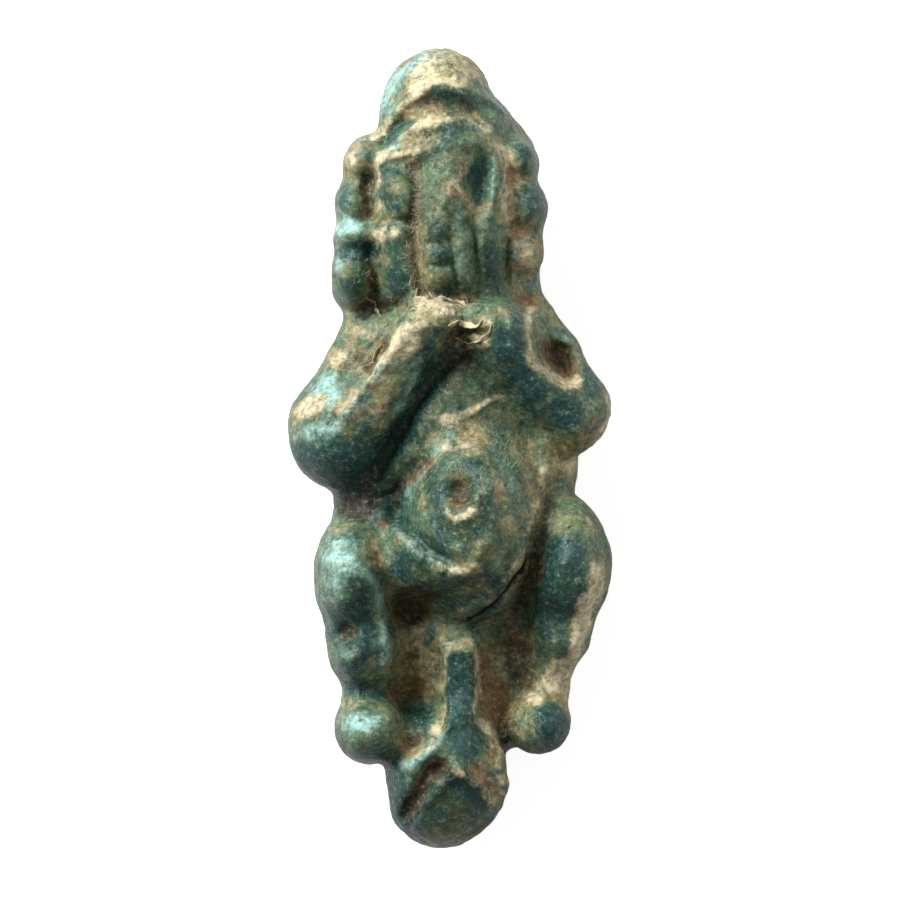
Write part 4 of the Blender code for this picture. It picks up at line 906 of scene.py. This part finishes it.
def new_mesh(name, points, corners, sizes):
    """A smooth mesh from its points, the corners of all faces in a row, and how many each face has."""
    mesh = bpy.data.meshes.new(name)
    mesh.vertices.add(len(points))
    mesh.vertices.foreach_set("co", points.ravel())
    mesh.loops.add(len(corners))
    mesh.loops.foreach_set("vertex_index", corners.astype(np.int32))
    mesh.polygons.add(len(sizes))
    starts = np.concatenate([[0], np.cumsum(sizes)[:-1]])
    mesh.polygons.foreach_set("loop_start", starts.astype(np.int32))
    mesh.update(calc_edges=True)
    mesh.validate()
    mesh.shade_smooth()
    return mesh


def closed_mesh(name, p):
    """A mesh of four-sided faces from a closed grid, whose first and last rows are single points."""
    rows, columns = p.shape[1] - 1, p.shape[2]
    ring = p[:, 1:-1].reshape(3, -1).T
    points = np.vstack([p[:, 0, 0][None], ring, p[:, -1, 0][None]])
    i, j = np.meshgrid(np.arange(rows - 2), np.arange(columns), indexing="ij")
    after = (j + 1) % columns
    a, b = 1 + i * columns + j, 1 + i * columns + after
    quads = np.stack([a, b, b + columns, a + columns], -1).reshape(-1, 4)
    edge = np.arange(columns)
    edge_after = (edge + 1) % columns
    last = len(points) - 1
    start = 1 + (rows - 2) * columns
    first_fan = np.stack([np.zeros(columns, int), 1 + edge_after, 1 + edge], -1)
    last_fan = np.stack([np.full(columns, last), start + edge, start + edge_after], -1)
    corners = np.concatenate([quads.ravel(), first_fan.ravel(), last_fan.ravel()])
    sizes = np.concatenate([np.full(len(quads), 4), np.full(2 * columns, 3)])
    return new_mesh(name, points, corners, sizes)


def grid_values(values):
    """A value per point of the mesh from a value per point of the grid."""
    return np.concatenate([values[:1, 0], values[1:-1].ravel(), values[-1:, 0]])


def give(mesh, name, values):
    """Stores one number per vertex under a name."""
    layer = mesh.attributes.new(name, "FLOAT", "POINT")
    layer.data.foreach_set("value", np.ascontiguousarray(values, dtype=np.float32))


def put(mesh, name, *materials):
    """A new object for the mesh, at the origin, with its materials."""
    thing = bpy.data.objects.new(name, mesh)
    bpy.context.scene.collection.objects.link(thing)
    for material in materials:
        mesh.materials.append(material)
    return thing


def to_metres(p):
    """Modules to metres, so that the figure just fills the solid's box."""
    low, high = p.reshape(3, -1).min(1), p.reshape(3, -1).max(1)
    scale = ((HIGH - LOW) / (high - low)).reshape((3,) + (1,) * (p.ndim - 1))
    shift = low.reshape(scale.shape)
    return (p - shift) * scale + LOW.reshape(scale.shape)


def round_bar(name, centre, radius, length, sides=40):
    """A bar along X: two rings of points, and a fan to a point in the middle of each end."""
    u = np.linspace(0, 2 * np.pi, sides, endpoint=False)
    ring = np.stack([np.zeros(sides), np.cos(u) * radius, np.sin(u) * radius])
    ends = np.array([-length / 2, length / 2])
    rows = np.repeat(ring[:, None, :], 4, axis=1)
    rows[0, 0], rows[0, 1] = ends[0], ends[0]
    rows[0, 2], rows[0, 3] = ends[1], ends[1]
    rows[1:, 0] = 0
    rows[1:, 3] = 0
    return closed_mesh(name, rows + np.array(centre)[:, None, None])


def over_skin(x, y):
    """The points of the finished skin that lie nearest under places of its front, and the normals there.

    The places are in modules; what comes back is in metres, with one column for each place.
    """
    mesh = bpy.data.objects["amulet_skin"].data
    points = np.empty(3 * len(mesh.vertices))
    normals = np.empty(3 * len(mesh.vertices))
    mesh.vertices.foreach_get("co", points)
    mesh.vertices.foreach_get("normal", normals)
    points, normals = points.reshape(-1, 3), normals.reshape(-1, 3)
    front = (normals[:, 2] > 0.15) & (points[:, 2] > 0.002)
    points, normals = points[front], normals[front]
    away = (points[:, :1] - METRES * x) ** 2 + (points[:, 1:2] - METRES * y) ** 2
    nearest = np.argmin(away, axis=0)
    return points[nearest].T, normals[nearest].T


def strands(name, paths, up, tall, thin, sides):
    """Many closed strands in one mesh: round each path (3, strands, steps) goes an ellipse, as tall as tall
    along up and as thin as thin across it."""
    along = np.gradient(paths, axis=2)
    along = along / (np.linalg.norm(along, axis=0) + 1e-12)
    across = np.cross(along, up, axis=0)
    across = across / (np.linalg.norm(across, axis=0) + 1e-12)
    rise = np.cross(across, along, axis=0)
    u = np.linspace(0, 2 * np.pi, sides, endpoint=False)
    ring = (rise * tall)[..., None] * np.cos(u) + (across * thin)[..., None] * np.sin(u)
    p = paths[..., None] + ring
    count, steps = paths.shape[1:]
    first = (np.arange(count) * steps * sides)[:, None, None]
    i, j = np.arange(steps - 1)[None, :, None] * sides, np.arange(sides)[None, None, :]
    after = (j + 1) % sides
    near = first + i
    quads = np.stack([near + j, near + after, near + sides + after, near + sides + j], -1)
    ring, first = np.arange(sides), first[:, 0]
    caps = np.stack([first + ring[::-1], first + (steps - 1) * sides + ring])
    corners = np.concatenate([quads.ravel(), caps.ravel()])
    sizes = np.concatenate([np.full(quads.size // 4, 4), np.full(2 * count, sides)])
    return new_mesh(name, np.moveaxis(p, 0, -1).reshape(-1, 3), corners, sizes)


def evenly(points, amount):
    """So many places spread evenly along the smooth curve through the given points."""
    route = curve(points, 12)
    way = np.concatenate([[0], np.cumsum(np.hypot(*np.diff(route, axis=0).T))])
    at = np.linspace(0, way[-1], amount)
    return np.interp(at, way, route[:, 0]), np.interp(at, way, route[:, 1])


def fuzz(rng, amount, spread, length, lean, *points):
    """Places and headings of fine fibres along a curve: x, y, the way they lean, and their lengths."""
    x, y = evenly(points, amount)
    x = x + rng.normal(0, spread, amount)
    y = y + rng.normal(0, spread, amount)
    heading = lean + rng.normal(0, 0.9, amount)
    return np.stack([x, y, heading, length * rng.uniform(0.5, 1.3, amount)])


def node(tree, kind, **settings):
    """A new node with its settings."""
    made = tree.nodes.new(kind)
    for key, value in settings.items():
        setattr(made, key, value)
    return made


def feed(tree, socket, value):
    """Links an output to a socket, or sets the socket to a plain value."""
    if isinstance(value, bpy.types.NodeSocket):
        tree.links.new(value, socket)
    else:
        socket.default_value = value


def figure_of(tree, operation, a, b):
    """One sum of two numbers or outputs."""
    made = node(tree, "ShaderNodeMath", operation=operation)
    feed(tree, made.inputs[0], a)
    feed(tree, made.inputs[1], b)
    return made.outputs[0]


def blend_colour(tree, share, below, above):
    """One colour over another."""
    made = node(tree, "ShaderNodeMix", data_type="RGBA", blend_type="MIX")
    feed(tree, made.inputs["Factor"], share)
    feed(tree, made.inputs[6], below)
    feed(tree, made.inputs[7], above)
    return made.outputs[2]


def grain(tree, place, size, detail=3.0, rough=0.55):
    """Random values whose features are about size metres wide."""
    made = node(tree, "ShaderNodeTexNoise")
    feed(tree, made.inputs["Vector"], place)
    made.inputs["Scale"].default_value = 1.0 / size
    made.inputs["Detail"].default_value = detail
    made.inputs["Roughness"].default_value = rough
    return made.outputs["Fac"]


def value_of(tree, name):
    """A number stored with each vertex."""
    return node(tree, "ShaderNodeAttribute", attribute_type="GEOMETRY", attribute_name=name).outputs["Fac"]


def new_group(name, inputs, outputs):
    """An empty node group whose named inputs and outputs are numbers."""
    group = bpy.data.node_groups.new(name, "ShaderNodeTree")
    for label, default in inputs:
        socket = group.interface.new_socket(label, in_out="INPUT", socket_type="NodeSocketFloat")
        socket.default_value = default
    for label in outputs:
        group.interface.new_socket(label, in_out="OUTPUT", socket_type="NodeSocketFloat")
    start = group.nodes.new("NodeGroupInput")
    end = group.nodes.new("NodeGroupOutput")
    return group, start, end


def ragged_patch():
    """Group: a soft mask turned into a patch with a ragged edge, eaten into by fine random grain."""
    if "Ragged patch" in bpy.data.node_groups:
        return bpy.data.node_groups["Ragged patch"]
    group, start, end = new_group(
        "Ragged patch",
        (("Mask", 0.0), ("Grain Size", 0.0004), ("Raggedness", 0.8), ("Edge", 0.12), ("Level", 0.5)),
        ("Patch",),
    )
    place = node(group, "ShaderNodeTexCoord").outputs["Object"]
    made = node(group, "ShaderNodeTexNoise")
    group.links.new(place, made.inputs["Vector"])
    scale = figure_of(group, "DIVIDE", 1.0, start.outputs["Grain Size"])
    group.links.new(scale, made.inputs["Scale"])
    made.inputs["Detail"].default_value = 5.0
    made.inputs["Roughness"].default_value = 0.68
    centred = figure_of(group, "SUBTRACT", made.outputs["Fac"], 0.5)
    eaten = figure_of(group, "MULTIPLY", centred, start.outputs["Raggedness"])
    raised = figure_of(group, "ADD", start.outputs["Mask"], eaten)
    low = figure_of(group, "SUBTRACT", start.outputs["Level"], start.outputs["Edge"])
    high = figure_of(group, "ADD", start.outputs["Level"], start.outputs["Edge"])
    step = node(group, "ShaderNodeMapRange", interpolation_type="SMOOTHSTEP")
    group.links.new(raised, step.inputs["Value"])
    group.links.new(low, step.inputs["From Min"])
    group.links.new(high, step.inputs["From Max"])
    group.links.new(step.outputs["Result"], end.inputs["Patch"])
    return group


def patch_of(tree, mask, size, rough, edge, level):
    """One use of the ragged patch group."""
    made = node(tree, "ShaderNodeGroup", node_tree=ragged_patch())
    feed(tree, made.inputs["Mask"], mask)
    made.inputs["Grain Size"].default_value = size
    made.inputs["Raggedness"].default_value = rough
    made.inputs["Edge"].default_value = edge
    made.inputs["Level"].default_value = level
    return made.outputs["Patch"]


def new_material(name):
    """A material with its node tree, its shader and the object's own coordinates."""
    material = bpy.data.materials.new(name)
    material.use_nodes = True
    tree = material.node_tree
    place = node(tree, "ShaderNodeTexCoord").outputs["Object"]
    return material, tree, tree.nodes["Principled BSDF"], place


def glaze_material(c):
    """Worn glaze over a tan body: deep where it pooled and where shade is painted, pale where it is thin and
    where highlights are painted, lost under crust and soil; soil with painted shade darkens the hollows.

    Cover is the likelihood of glaze; a ragged patch of it decides between glaze and bare body, and the
    other tones are laid over both.
    """
    material, tree, shader, place = new_material("worn glaze")

    def tint(name):
        return tuple(getattr(c, name)) + (1,)

    def times(a, b):
        return figure_of(tree, "MULTIPLY", a, b)

    def plus(a, *more):
        for b in more:
            a = figure_of(tree, "ADD", a, b)
        return a

    def less(a, b):
        return figure_of(tree, "SUBTRACT", a, b)

    def lay(below, above, mask, size, rough, edge, level, most):
        return blend_colour(tree, times(patch_of(tree, mask, size, rough, edge, level), most), below, above)

    tones = {name: value_of(tree, name) for name in TONES + ("hollow", "dip")}
    broad = less(grain(tree, place, 0.0032, 2.0), 0.5)
    cloud = grain(tree, place, 0.0011, 7.0, 0.7)
    fine = grain(tree, place, 0.00022, 4.0, 0.7)
    streak = grain(tree, place, 0.00050, 6.0, 0.75)
    colour = lay(tint("tan"), tint("bare_body"), cloud, 0.00025, 2.0, 0.35, 0.5, 1.0)
    cream = plus(tones["crust"], times(tones["dip"], -1.2), times(broad, 0.8))
    colour = lay(colour, tint("cream"), cream, 0.0007, 3.0, 0.42, 0.55, 0.95)
    shares = (("deep", 0.55), ("pale", 0.25), ("crust", -0.55), ("soil", -0.25), ("rust", -0.25))
    cover = plus(broad, 0.72, *(times(tones[name], share) for name, share in shares))
    glaze = patch_of(tree, cover, 0.0007, 3.2, 0.32, 0.48)
    coat = lay(tint("middle_glaze"), tint("grey_glaze"), cloud, 0.00035, 2.4, 0.35, 0.5, 0.9)
    # Pale: thin glaze on high places, and painted highlights where the tone sheet lays them on faces turned
    # to the light.
    pale = plus(tones["pale"], times(tones["dip"], -0.5))
    coat = lay(coat, tint("pale_glaze_and_highlight"), pale, 0.0006, 2.2, 0.5, 0.7, 0.85)
    # The pooled colour goes where the deep tone is: pooled glaze, and painted shade under the arms and
    # elbows, below the belly's fold, at the left ankle, under the left beads and along the end's left edge.
    greener = plus(broad, 0.4, times(tones["olive"], 0.8))
    pooled = lay(tint("deep_glaze_and_shade"), tint("deep_green_and_shade"), greener, 0.0006, 2.0, 0.3, 0.55, 1.0)
    coat = lay(coat, pooled, plus(tones["deep"], broad), 0.0007, 3.0, 0.42, 0.55, 0.92)
    colour = blend_colour(tree, times(glaze, 0.96), colour, coat)
    colour = lay(colour, tint("olive"), tones["olive"], 0.0006, 1.8, 0.36, 0.6, 0.7)
    rusty = patch_of(tree, tones["rust"], 0.0004, 1.8, 0.32, 0.62)
    colour = blend_colour(tree, times(rusty, 0.75), colour, tint("rust"))
    # The soil mask: soil from its sheet, and painted shade in every hollow through the hollow measure.
    soil = patch_of(tree, plus(tones["soil"], tones["hollow"]), 0.00045, 2.1, 0.4, 0.75)
    ground = lay(tint("dark_soil"), tint("soil"), fine, 0.0002, 1.5, 0.3, 0.5, 1.0)
    colour = blend_colour(tree, times(soil, 0.8), colour, ground)
    colour = lay(colour, tint("cream"), fine, 0.00008, 0.7, 0.12, 0.66, 0.3)
    pits = patch_of(tree, less(1.0, streak), 0.00009, 0.8, 0.1, 0.66)
    colour = blend_colour(tree, times(pits, 0.55), colour, tint("dark_soil"))
    # Black: the crack by the belly's rim, a dot and a groove by the end, and painted shadow under the left
    # forearm and elbow and along the end's left edge.
    black = patch_of(tree, tones["black"], 0.0003, 1.5, 0.2, 0.75)
    colour = blend_colour(tree, black, colour, (0.004, 0.004, 0.004, 1))
    mottle = plus(times(fine, 2.6), times(cloud, 1.5), -1.05)
    shade = node(tree, "ShaderNodeMix", data_type="RGBA", blend_type="MULTIPLY")
    shade.inputs["Factor"].default_value = 1.0
    feed(tree, shade.inputs[6], colour)
    feed(tree, shade.inputs[7], mottle)
    feed(tree, shader.inputs["Base Color"], shade.outputs[2])
    dull = figure_of(tree, "MAXIMUM", less(1.0, glaze), soil)
    dull = figure_of(tree, "MAXIMUM", dull, rusty)
    rough = plus(times(dull, 0.4), times(fine, 0.25), 0.14)
    feed(tree, shader.inputs["Roughness"], rough)
    shader.inputs["Specular IOR Level"].default_value = c.gloss
    height = plus(times(fine, 0.6), times(streak, 0.7), times(glaze, 0.3), times(cloud, 0.7))
    height = plus(height, times(pits, -0.5))
    bump = node(tree, "ShaderNodeBump")
    bump.inputs["Strength"].default_value = 0.6
    bump.inputs["Distance"].default_value = 0.00012
    feed(tree, bump.inputs["Height"], height)
    tree.links.new(bump.outputs["Normal"], shader.inputs["Normal"])
    return material


def plain_material(name, colour, rough):
    """One plain finish."""
    material, _, shader, _ = new_material(name)
    shader.inputs["Base Color"].default_value = tuple(colour) + (1,)
    shader.inputs["Roughness"].default_value = rough
    return material


def colour_property(label, words, value):
    """A colour that a user may change, in linear values."""
    return bpy.props.FloatVectorProperty(
        name=label, description=words, default=value, subtype="COLOR", min=0, max=1)


def number_property(label, words, value, **more):
    """A number that a user may change."""
    return bpy.props.FloatProperty(name=label, description=words, default=value, **more)


def count_property(label, words, value, least, most):
    """A whole number that a user may change."""
    return bpy.props.IntProperty(name=label, description=words, default=value, min=least, max=most)


class AMULET_PG_finish(bpy.types.PropertyGroup):
    """Colours of the glaze and of what lies on it, and of the painted highlights and shade."""

    # Deep glaze and deep green are also the colours of the painted shade.
    deep_glaze_and_shade: colour_property("Deep glaze", "Glaze where it pooled thickly", (0.003, 0.052, 0.058))
    deep_green_and_shade: colour_property("Deep green glaze", "Thick glaze that turned green", (0.010, 0.048, 0.029))
    middle_glaze: colour_property("Middle glaze", "Glaze over most of the piece", (0.036, 0.118, 0.076))
    grey_glaze: colour_property("Grey glaze", "Weathered glaze", (0.118, 0.158, 0.084))
    # Pale glaze is also the colour of the painted highlights.
    pale_glaze_and_highlight: colour_property("Pale glaze", "Thin glaze on high places", (0.29, 0.52, 0.47))
    bare_body: colour_property("Bare body", "Greenish body where the glaze is gone", (0.20, 0.20, 0.10))
    olive: colour_property("Olive stain", "Greenish stain", (0.16, 0.155, 0.065))
    cream: colour_property("Cream crust", "Pale crust where the glaze is lost", (0.54, 0.47, 0.30))
    tan: colour_property("Tan body", "Tan body where the glaze is gone", (0.32, 0.235, 0.115))
    rust: colour_property("Rust stain", "Rusty stain", (0.20, 0.105, 0.042))
    gloss: number_property("Gloss", "Strength of the glaze's reflection", 0.3)
    fibre: colour_property("Fibre", "Fine fibres in the grooves", (0.42, 0.39, 0.29))
    flake: colour_property("Flake", "Loose flakes of crust", (0.52, 0.45, 0.31))
    # Soil is also the colour of the painted shade in the hollows.
    soil: colour_property("Soil", "Soil in the hollows", (0.080, 0.055, 0.030))
    dark_soil: colour_property("Dark soil", "Darkest soil in the grooves", (0.018, 0.016, 0.010))


class AMULET_PG_skin(bpy.types.PropertyGroup):
    """How finely the skin is drawn."""

    rows: count_property("Rows", "Steps from the cap to the tip", 380, 80, 390)
    columns: count_property("Columns", "Steps once round the figure", 248, 60, 250)


class AMULET_PG_stage(bpy.types.PropertyGroup):
    """The floor, the lights and the camera."""

    floor_colour: colour_property("Floor", "Colour of the pale floor", (0.6, 0.6, 0.6))
    surround: number_property("Surround", "Strength of the light from all round", 0.24)
    glow: number_property("Floor glow", "How white the floor is made", 0.8)
    key: number_property("Key light", "Power of the soft main light", 1.6, unit="POWER")
    fill: number_property("Fill light", "Power of the weak second light", 0.3, unit="POWER")
    lens: number_property("Lens", "Focal length in millimetres", 180.0)


class AMULET_OT_figure(bpy.types.Operator):
    """Build the amulet itself: its fine skin, its cord hole and its worn glaze, with painted highlights and
    shade
    """

    bl_idname = "amulet.figure"
    bl_label = "Amulet"

    def execute(self, context):
        sizes = context.scene.amulet_skin
        smooth_skin = skin(relief(), sizes.rows, sizes.columns)
        values = tone_values(smooth_skin, lay_tones())
        p = weathered(smooth_skin, values)
        n = facing(p)
        # The broad hollow measure feeds the soil mask, so it paints shade into every hollow as well as soil.
        values["hollow"] = hollows(p, n, 60)
        values["dip"] = hollows(p, n, 8)
        mesh = closed_mesh("amulet_skin", to_metres(p))
        for name in values:
            give(mesh, name, grid_values(values[name]))
        thing = put(mesh, "amulet_skin", glaze_material(context.scene.amulet_finish))
        place = (0, METRES * HOLE_ALONG, METRES * HOLE_HIGH)
        drill = round_bar("cord_hole", place, METRES * HOLE_RADIUS, DRILL_LENGTH)
        for name in values:
            give(drill, name, np.full(len(drill.vertices), 1.0 if name in ("soil", "hollow") else 0.0))
        bar = put(drill, "cord_hole")
        cut = thing.modifiers.new("cord_hole", "BOOLEAN")
        cut.operation = "DIFFERENCE"
        cut.solver = "EXACT"
        cut.object = bar
        drilled = bpy.data.meshes.new_from_object(thing.evaluated_get(context.evaluated_depsgraph_get()))
        thing.modifiers.clear()
        thing.data = drilled
        bpy.data.objects.remove(bar)
        if not len(drilled.polygons):
            raise RuntimeError("the amulet's skin came out empty")
        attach(thing, "root")
        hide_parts("amulet")
        return {"FINISHED"}


class AMULET_OT_fibres(bpy.types.Operator):
    """Lay fine pale fibres in the grooves of the face, under the locks and on the belly"""

    bl_idname = "amulet.fibres"
    bl_label = "Fibres"

    def execute(self, context):
        rng = np.random.default_rng(8)
        x, y, heading, length = np.concatenate([
            fuzz(rng, 130, 0.13, 0.34, 2.6, (-1.5, 10.95), (-1.2, 10.5), (-1.05, 9.9), (-1.1, 9.4)),
            fuzz(rng, 170, 0.10, 0.30, 3.3, (-1.2, 9.3), (-1.45, 8.4), (-1.5, 7.4), (-1.3, 6.3)),
            fuzz(rng, 110, 0.08, 0.28, 0.2, (-1.1, 9.0), (-1.15, 8.0), (-1.15, 7.0), (-1.0, 6.2)),
            fuzz(rng, 90, 0.16, 0.2, 2.2, (-3.5, 7.2), (-3.1, 6.4), (-3.0, 5.5)),
            fuzz(rng, 100, 0.16, 0.26, 0.6, (-2.7, 6.1), (-2.1, 5.75), (-1.4, 5.75)),
            fuzz(rng, 24, 0.12, 0.5, 2.8, (-4.1, 3.5), (-3.5, 3.2), (-3.2, 3.3)),
            fuzz(rng, 130, 0.28, 0.26, 2.2, (0.9, 1.5), (1.5, 0.6), (2.1, -0.1), (3.1, -1.2)),
        ], axis=1)
        root, up = over_skin(x, y)
        t = np.linspace(0, 1, FIBRE_STEPS)
        bend = heading[:, None] + rng.normal(0, 0.5, len(x))[:, None] * t
        reach = METRES * length[:, None] * t
        lift = 0.3 + 0.5 * rng.uniform(0, 1, len(x))[:, None] * (1 - 0.7 * t)
        flat = np.stack([np.cos(bend) * reach, np.sin(bend) * reach, np.zeros_like(reach)])
        paths = root[:, :, None] + flat + up[:, :, None] * (reach * lift - FIBRE_SUNK)
        radius = FIBRE_RADIUS * (1.2 - 0.9 * t) * np.ones_like(reach)
        off_axis = np.array([0.13, 0.07, 0.0])[:, None, None]
        tops = np.repeat(up[:, :, None], FIBRE_STEPS, axis=2) + off_axis
        mesh = strands("fibres", paths, tops, radius, radius, 3)
        thing = put(mesh, "fibres", plain_material("pale fibre", context.scene.amulet_finish.fibre, 0.7))
        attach(thing, "root")
        return {"FINISHED"}


class AMULET_OT_flakes(bpy.types.Operator):
    """Stand thin flakes of crust round the slit between the hands, under the face and by the locks"""

    bl_idname = "amulet.flakes"
    bl_label = "Flakes of crust"

    def execute(self, context):
        rng = np.random.default_rng(5)
        routes = (
            ((-0.15, 4.7), (0.2, 4.92), (0.6, 4.98), (1.0, 4.86), (1.35, 4.86)),
            ((1.5, 4.75), (1.55, 4.45), (1.3, 4.2), (0.95, 4.12)),
            ((0.9, 4.1), (0.5, 4.2), (0.15, 4.38)),
            ((-0.9, 6.0), (-0.5, 5.85), (0.0, 5.78), (0.45, 5.72), (0.75, 5.5)),
            ((-1.2, 6.2), (-1.35, 5.95), (-1.1, 5.75), (-0.8, 5.65)),
            ((-3.3, 6.0), (-3.0, 5.75), (-2.95, 5.4), (-2.7, 5.2)),
            ((-3.15, 3.25), (-2.95, 3.55), (-2.75, 3.9), (-2.65, 4.1)),
        )
        t = np.linspace(0, 1, FLAKE_STEPS)

        def wobble(pace, seed):
            """Smooth random values along a flake."""
            return noise((t * pace, t * 0, t * 0), 1.0, int(seed))

        paths, tops, talls = [], [], []
        for route in routes:
            x, y = evenly(route, FLAKE_STEPS)
            x = x + 0.05 * wobble(6, rng.integers(99))
            y = y + 0.07 * wobble(6, rng.integers(99))
            root, up = over_skin(x, y)
            for again in range(3):
                root[:, 1:-1] = (root[:, :-2] + root[:, 1:-1] + root[:, 2:]) / 3
                up[:, 1:-1] = (up[:, :-2] + up[:, 1:-1] + up[:, 2:]) / 3
            up = up + 0.5 * np.stack([wobble(5, seed) for seed in rng.integers(99, size=3)])
            up = up / np.linalg.norm(up, axis=0)
            tall = FLAKE_HEIGHT * np.sin(np.pi * t) ** 0.5 * (1 + 0.8 * wobble(9, rng.integers(99)))
            paths.append(root + up * tall * 0.55)
            tops.append(up)
            talls.append(np.maximum(tall, FLAKE_LEAST))
        paths, tops, talls = np.stack(paths, axis=1), np.stack(tops, axis=1), np.stack(talls)
        mesh = strands("flakes", paths, tops, talls, FLAKE_THICKNESS * np.ones_like(talls), 8)
        thing = put(mesh, "flakes", plain_material("crust flake", context.scene.amulet_finish.flake, 0.75))
        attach(thing, "root")
        return {"FINISHED"}


class AMULET_OT_stage(bpy.types.Operator):
    """Build the pale floor, the soft lights and the camera over the amulet"""

    bl_idname = "amulet.stage"
    bl_label = "Stage"

    def execute(self, context):
        look = context.scene.amulet_stage
        mesh = bpy.data.meshes.new("floor")
        corners = [(x * FLOOR_SIDE, y * FLOOR_SIDE, 0) for x, y in ((-1, -1), (1, -1), (1, 1), (-1, 1))]
        mesh.from_pydata(corners, [], [(0, 1, 2, 3)])
        finish = plain_material("pale floor", look.floor_colour, 0.6)
        shine = finish.node_tree.nodes["Principled BSDF"]
        shine.inputs["Emission Color"].default_value = (1, 1, 1, 1)
        seen = node(finish.node_tree, "ShaderNodeLightPath").outputs["Is Camera Ray"]
        glow = figure_of(finish.node_tree, "MULTIPLY", seen, look.glow)
        feed(finish.node_tree, shine.inputs["Emission Strength"], glow)
        floor = put(mesh, "floor", finish)
        floor.location.z = LOW[2]
        aim = Vector((0.0, 0.0, 0.0035))
        for name, power, size, spot in (
            ("key light", look.key, 0.16, (-0.17, 0.17, 0.17)),
            ("fill light", look.fill, 0.2, (0.24, 0.1, 0.12)),
        ):
            data = bpy.data.lights.new(name, "AREA")
            data.energy = power
            data.size = size
            lamp = bpy.data.objects.new(name, data)
            lamp.location = spot
            lamp.rotation_euler = (Vector(spot) - aim).to_track_quat("Z", "Y").to_euler()
            context.scene.collection.objects.link(lamp)
        world = bpy.data.worlds.new("surround")
        world.use_nodes = True
        sky = world.node_tree.nodes["Background"]
        sky.inputs["Color"].default_value = (1, 1, 1, 1)
        sky.inputs["Strength"].default_value = look.surround
        context.scene.world = world
        context.scene.view_settings.view_transform = "Standard"
        data = bpy.data.cameras.new("camera")
        data.lens = look.lens
        data.sensor_width = 36
        data.clip_start = 0.01
        data.clip_end = 10
        camera = bpy.data.objects.new("camera", data)
        camera.location = (0.0, -0.00008, 0.0036 + look.lens * 0.001)
        context.scene.collection.objects.link(camera)
        context.scene.camera = camera
        return {"FINISHED"}


class AMULET_PT_panel(bpy.types.Panel):
    """The pieces of the scene, each with a button"""

    bl_idname = "AMULET_PT_panel"
    bl_label = "Amulet"
    bl_space_type = "VIEW_3D"
    bl_region_type = "UI"
    bl_category = "Amulet"

    def draw(self, context):
        column = self.layout.column()
        for button in (AMULET_OT_figure, AMULET_OT_fibres, AMULET_OT_flakes, AMULET_OT_stage):
            column.operator(button.bl_idname)


CLASSES = (
    AMULET_PG_finish, AMULET_PG_skin, AMULET_PG_stage,
    AMULET_OT_figure, AMULET_OT_fibres, AMULET_OT_flakes, AMULET_OT_stage,
    AMULET_PT_panel,
)


def register():
    """Makes the classes and the scene's settings known."""
    for one in CLASSES:
        bpy.utils.register_class(one)
    bpy.types.Scene.amulet_finish = bpy.props.PointerProperty(type=AMULET_PG_finish)
    bpy.types.Scene.amulet_skin = bpy.props.PointerProperty(type=AMULET_PG_skin)
    bpy.types.Scene.amulet_stage = bpy.props.PointerProperty(type=AMULET_PG_stage)


def unregister():
    """Takes them away again."""
    for name in ("amulet_finish", "amulet_skin", "amulet_stage"):
        delattr(bpy.types.Scene, name)
    for one in reversed(CLASSES):
        bpy.utils.unregister_class(one)


def main():
    """Builds every piece and the stage."""
    register()
    bpy.ops.amulet.figure()
    bpy.ops.amulet.fibres()
    bpy.ops.amulet.flakes()
    bpy.ops.amulet.stage()


if __name__ == "__main__":
    main()
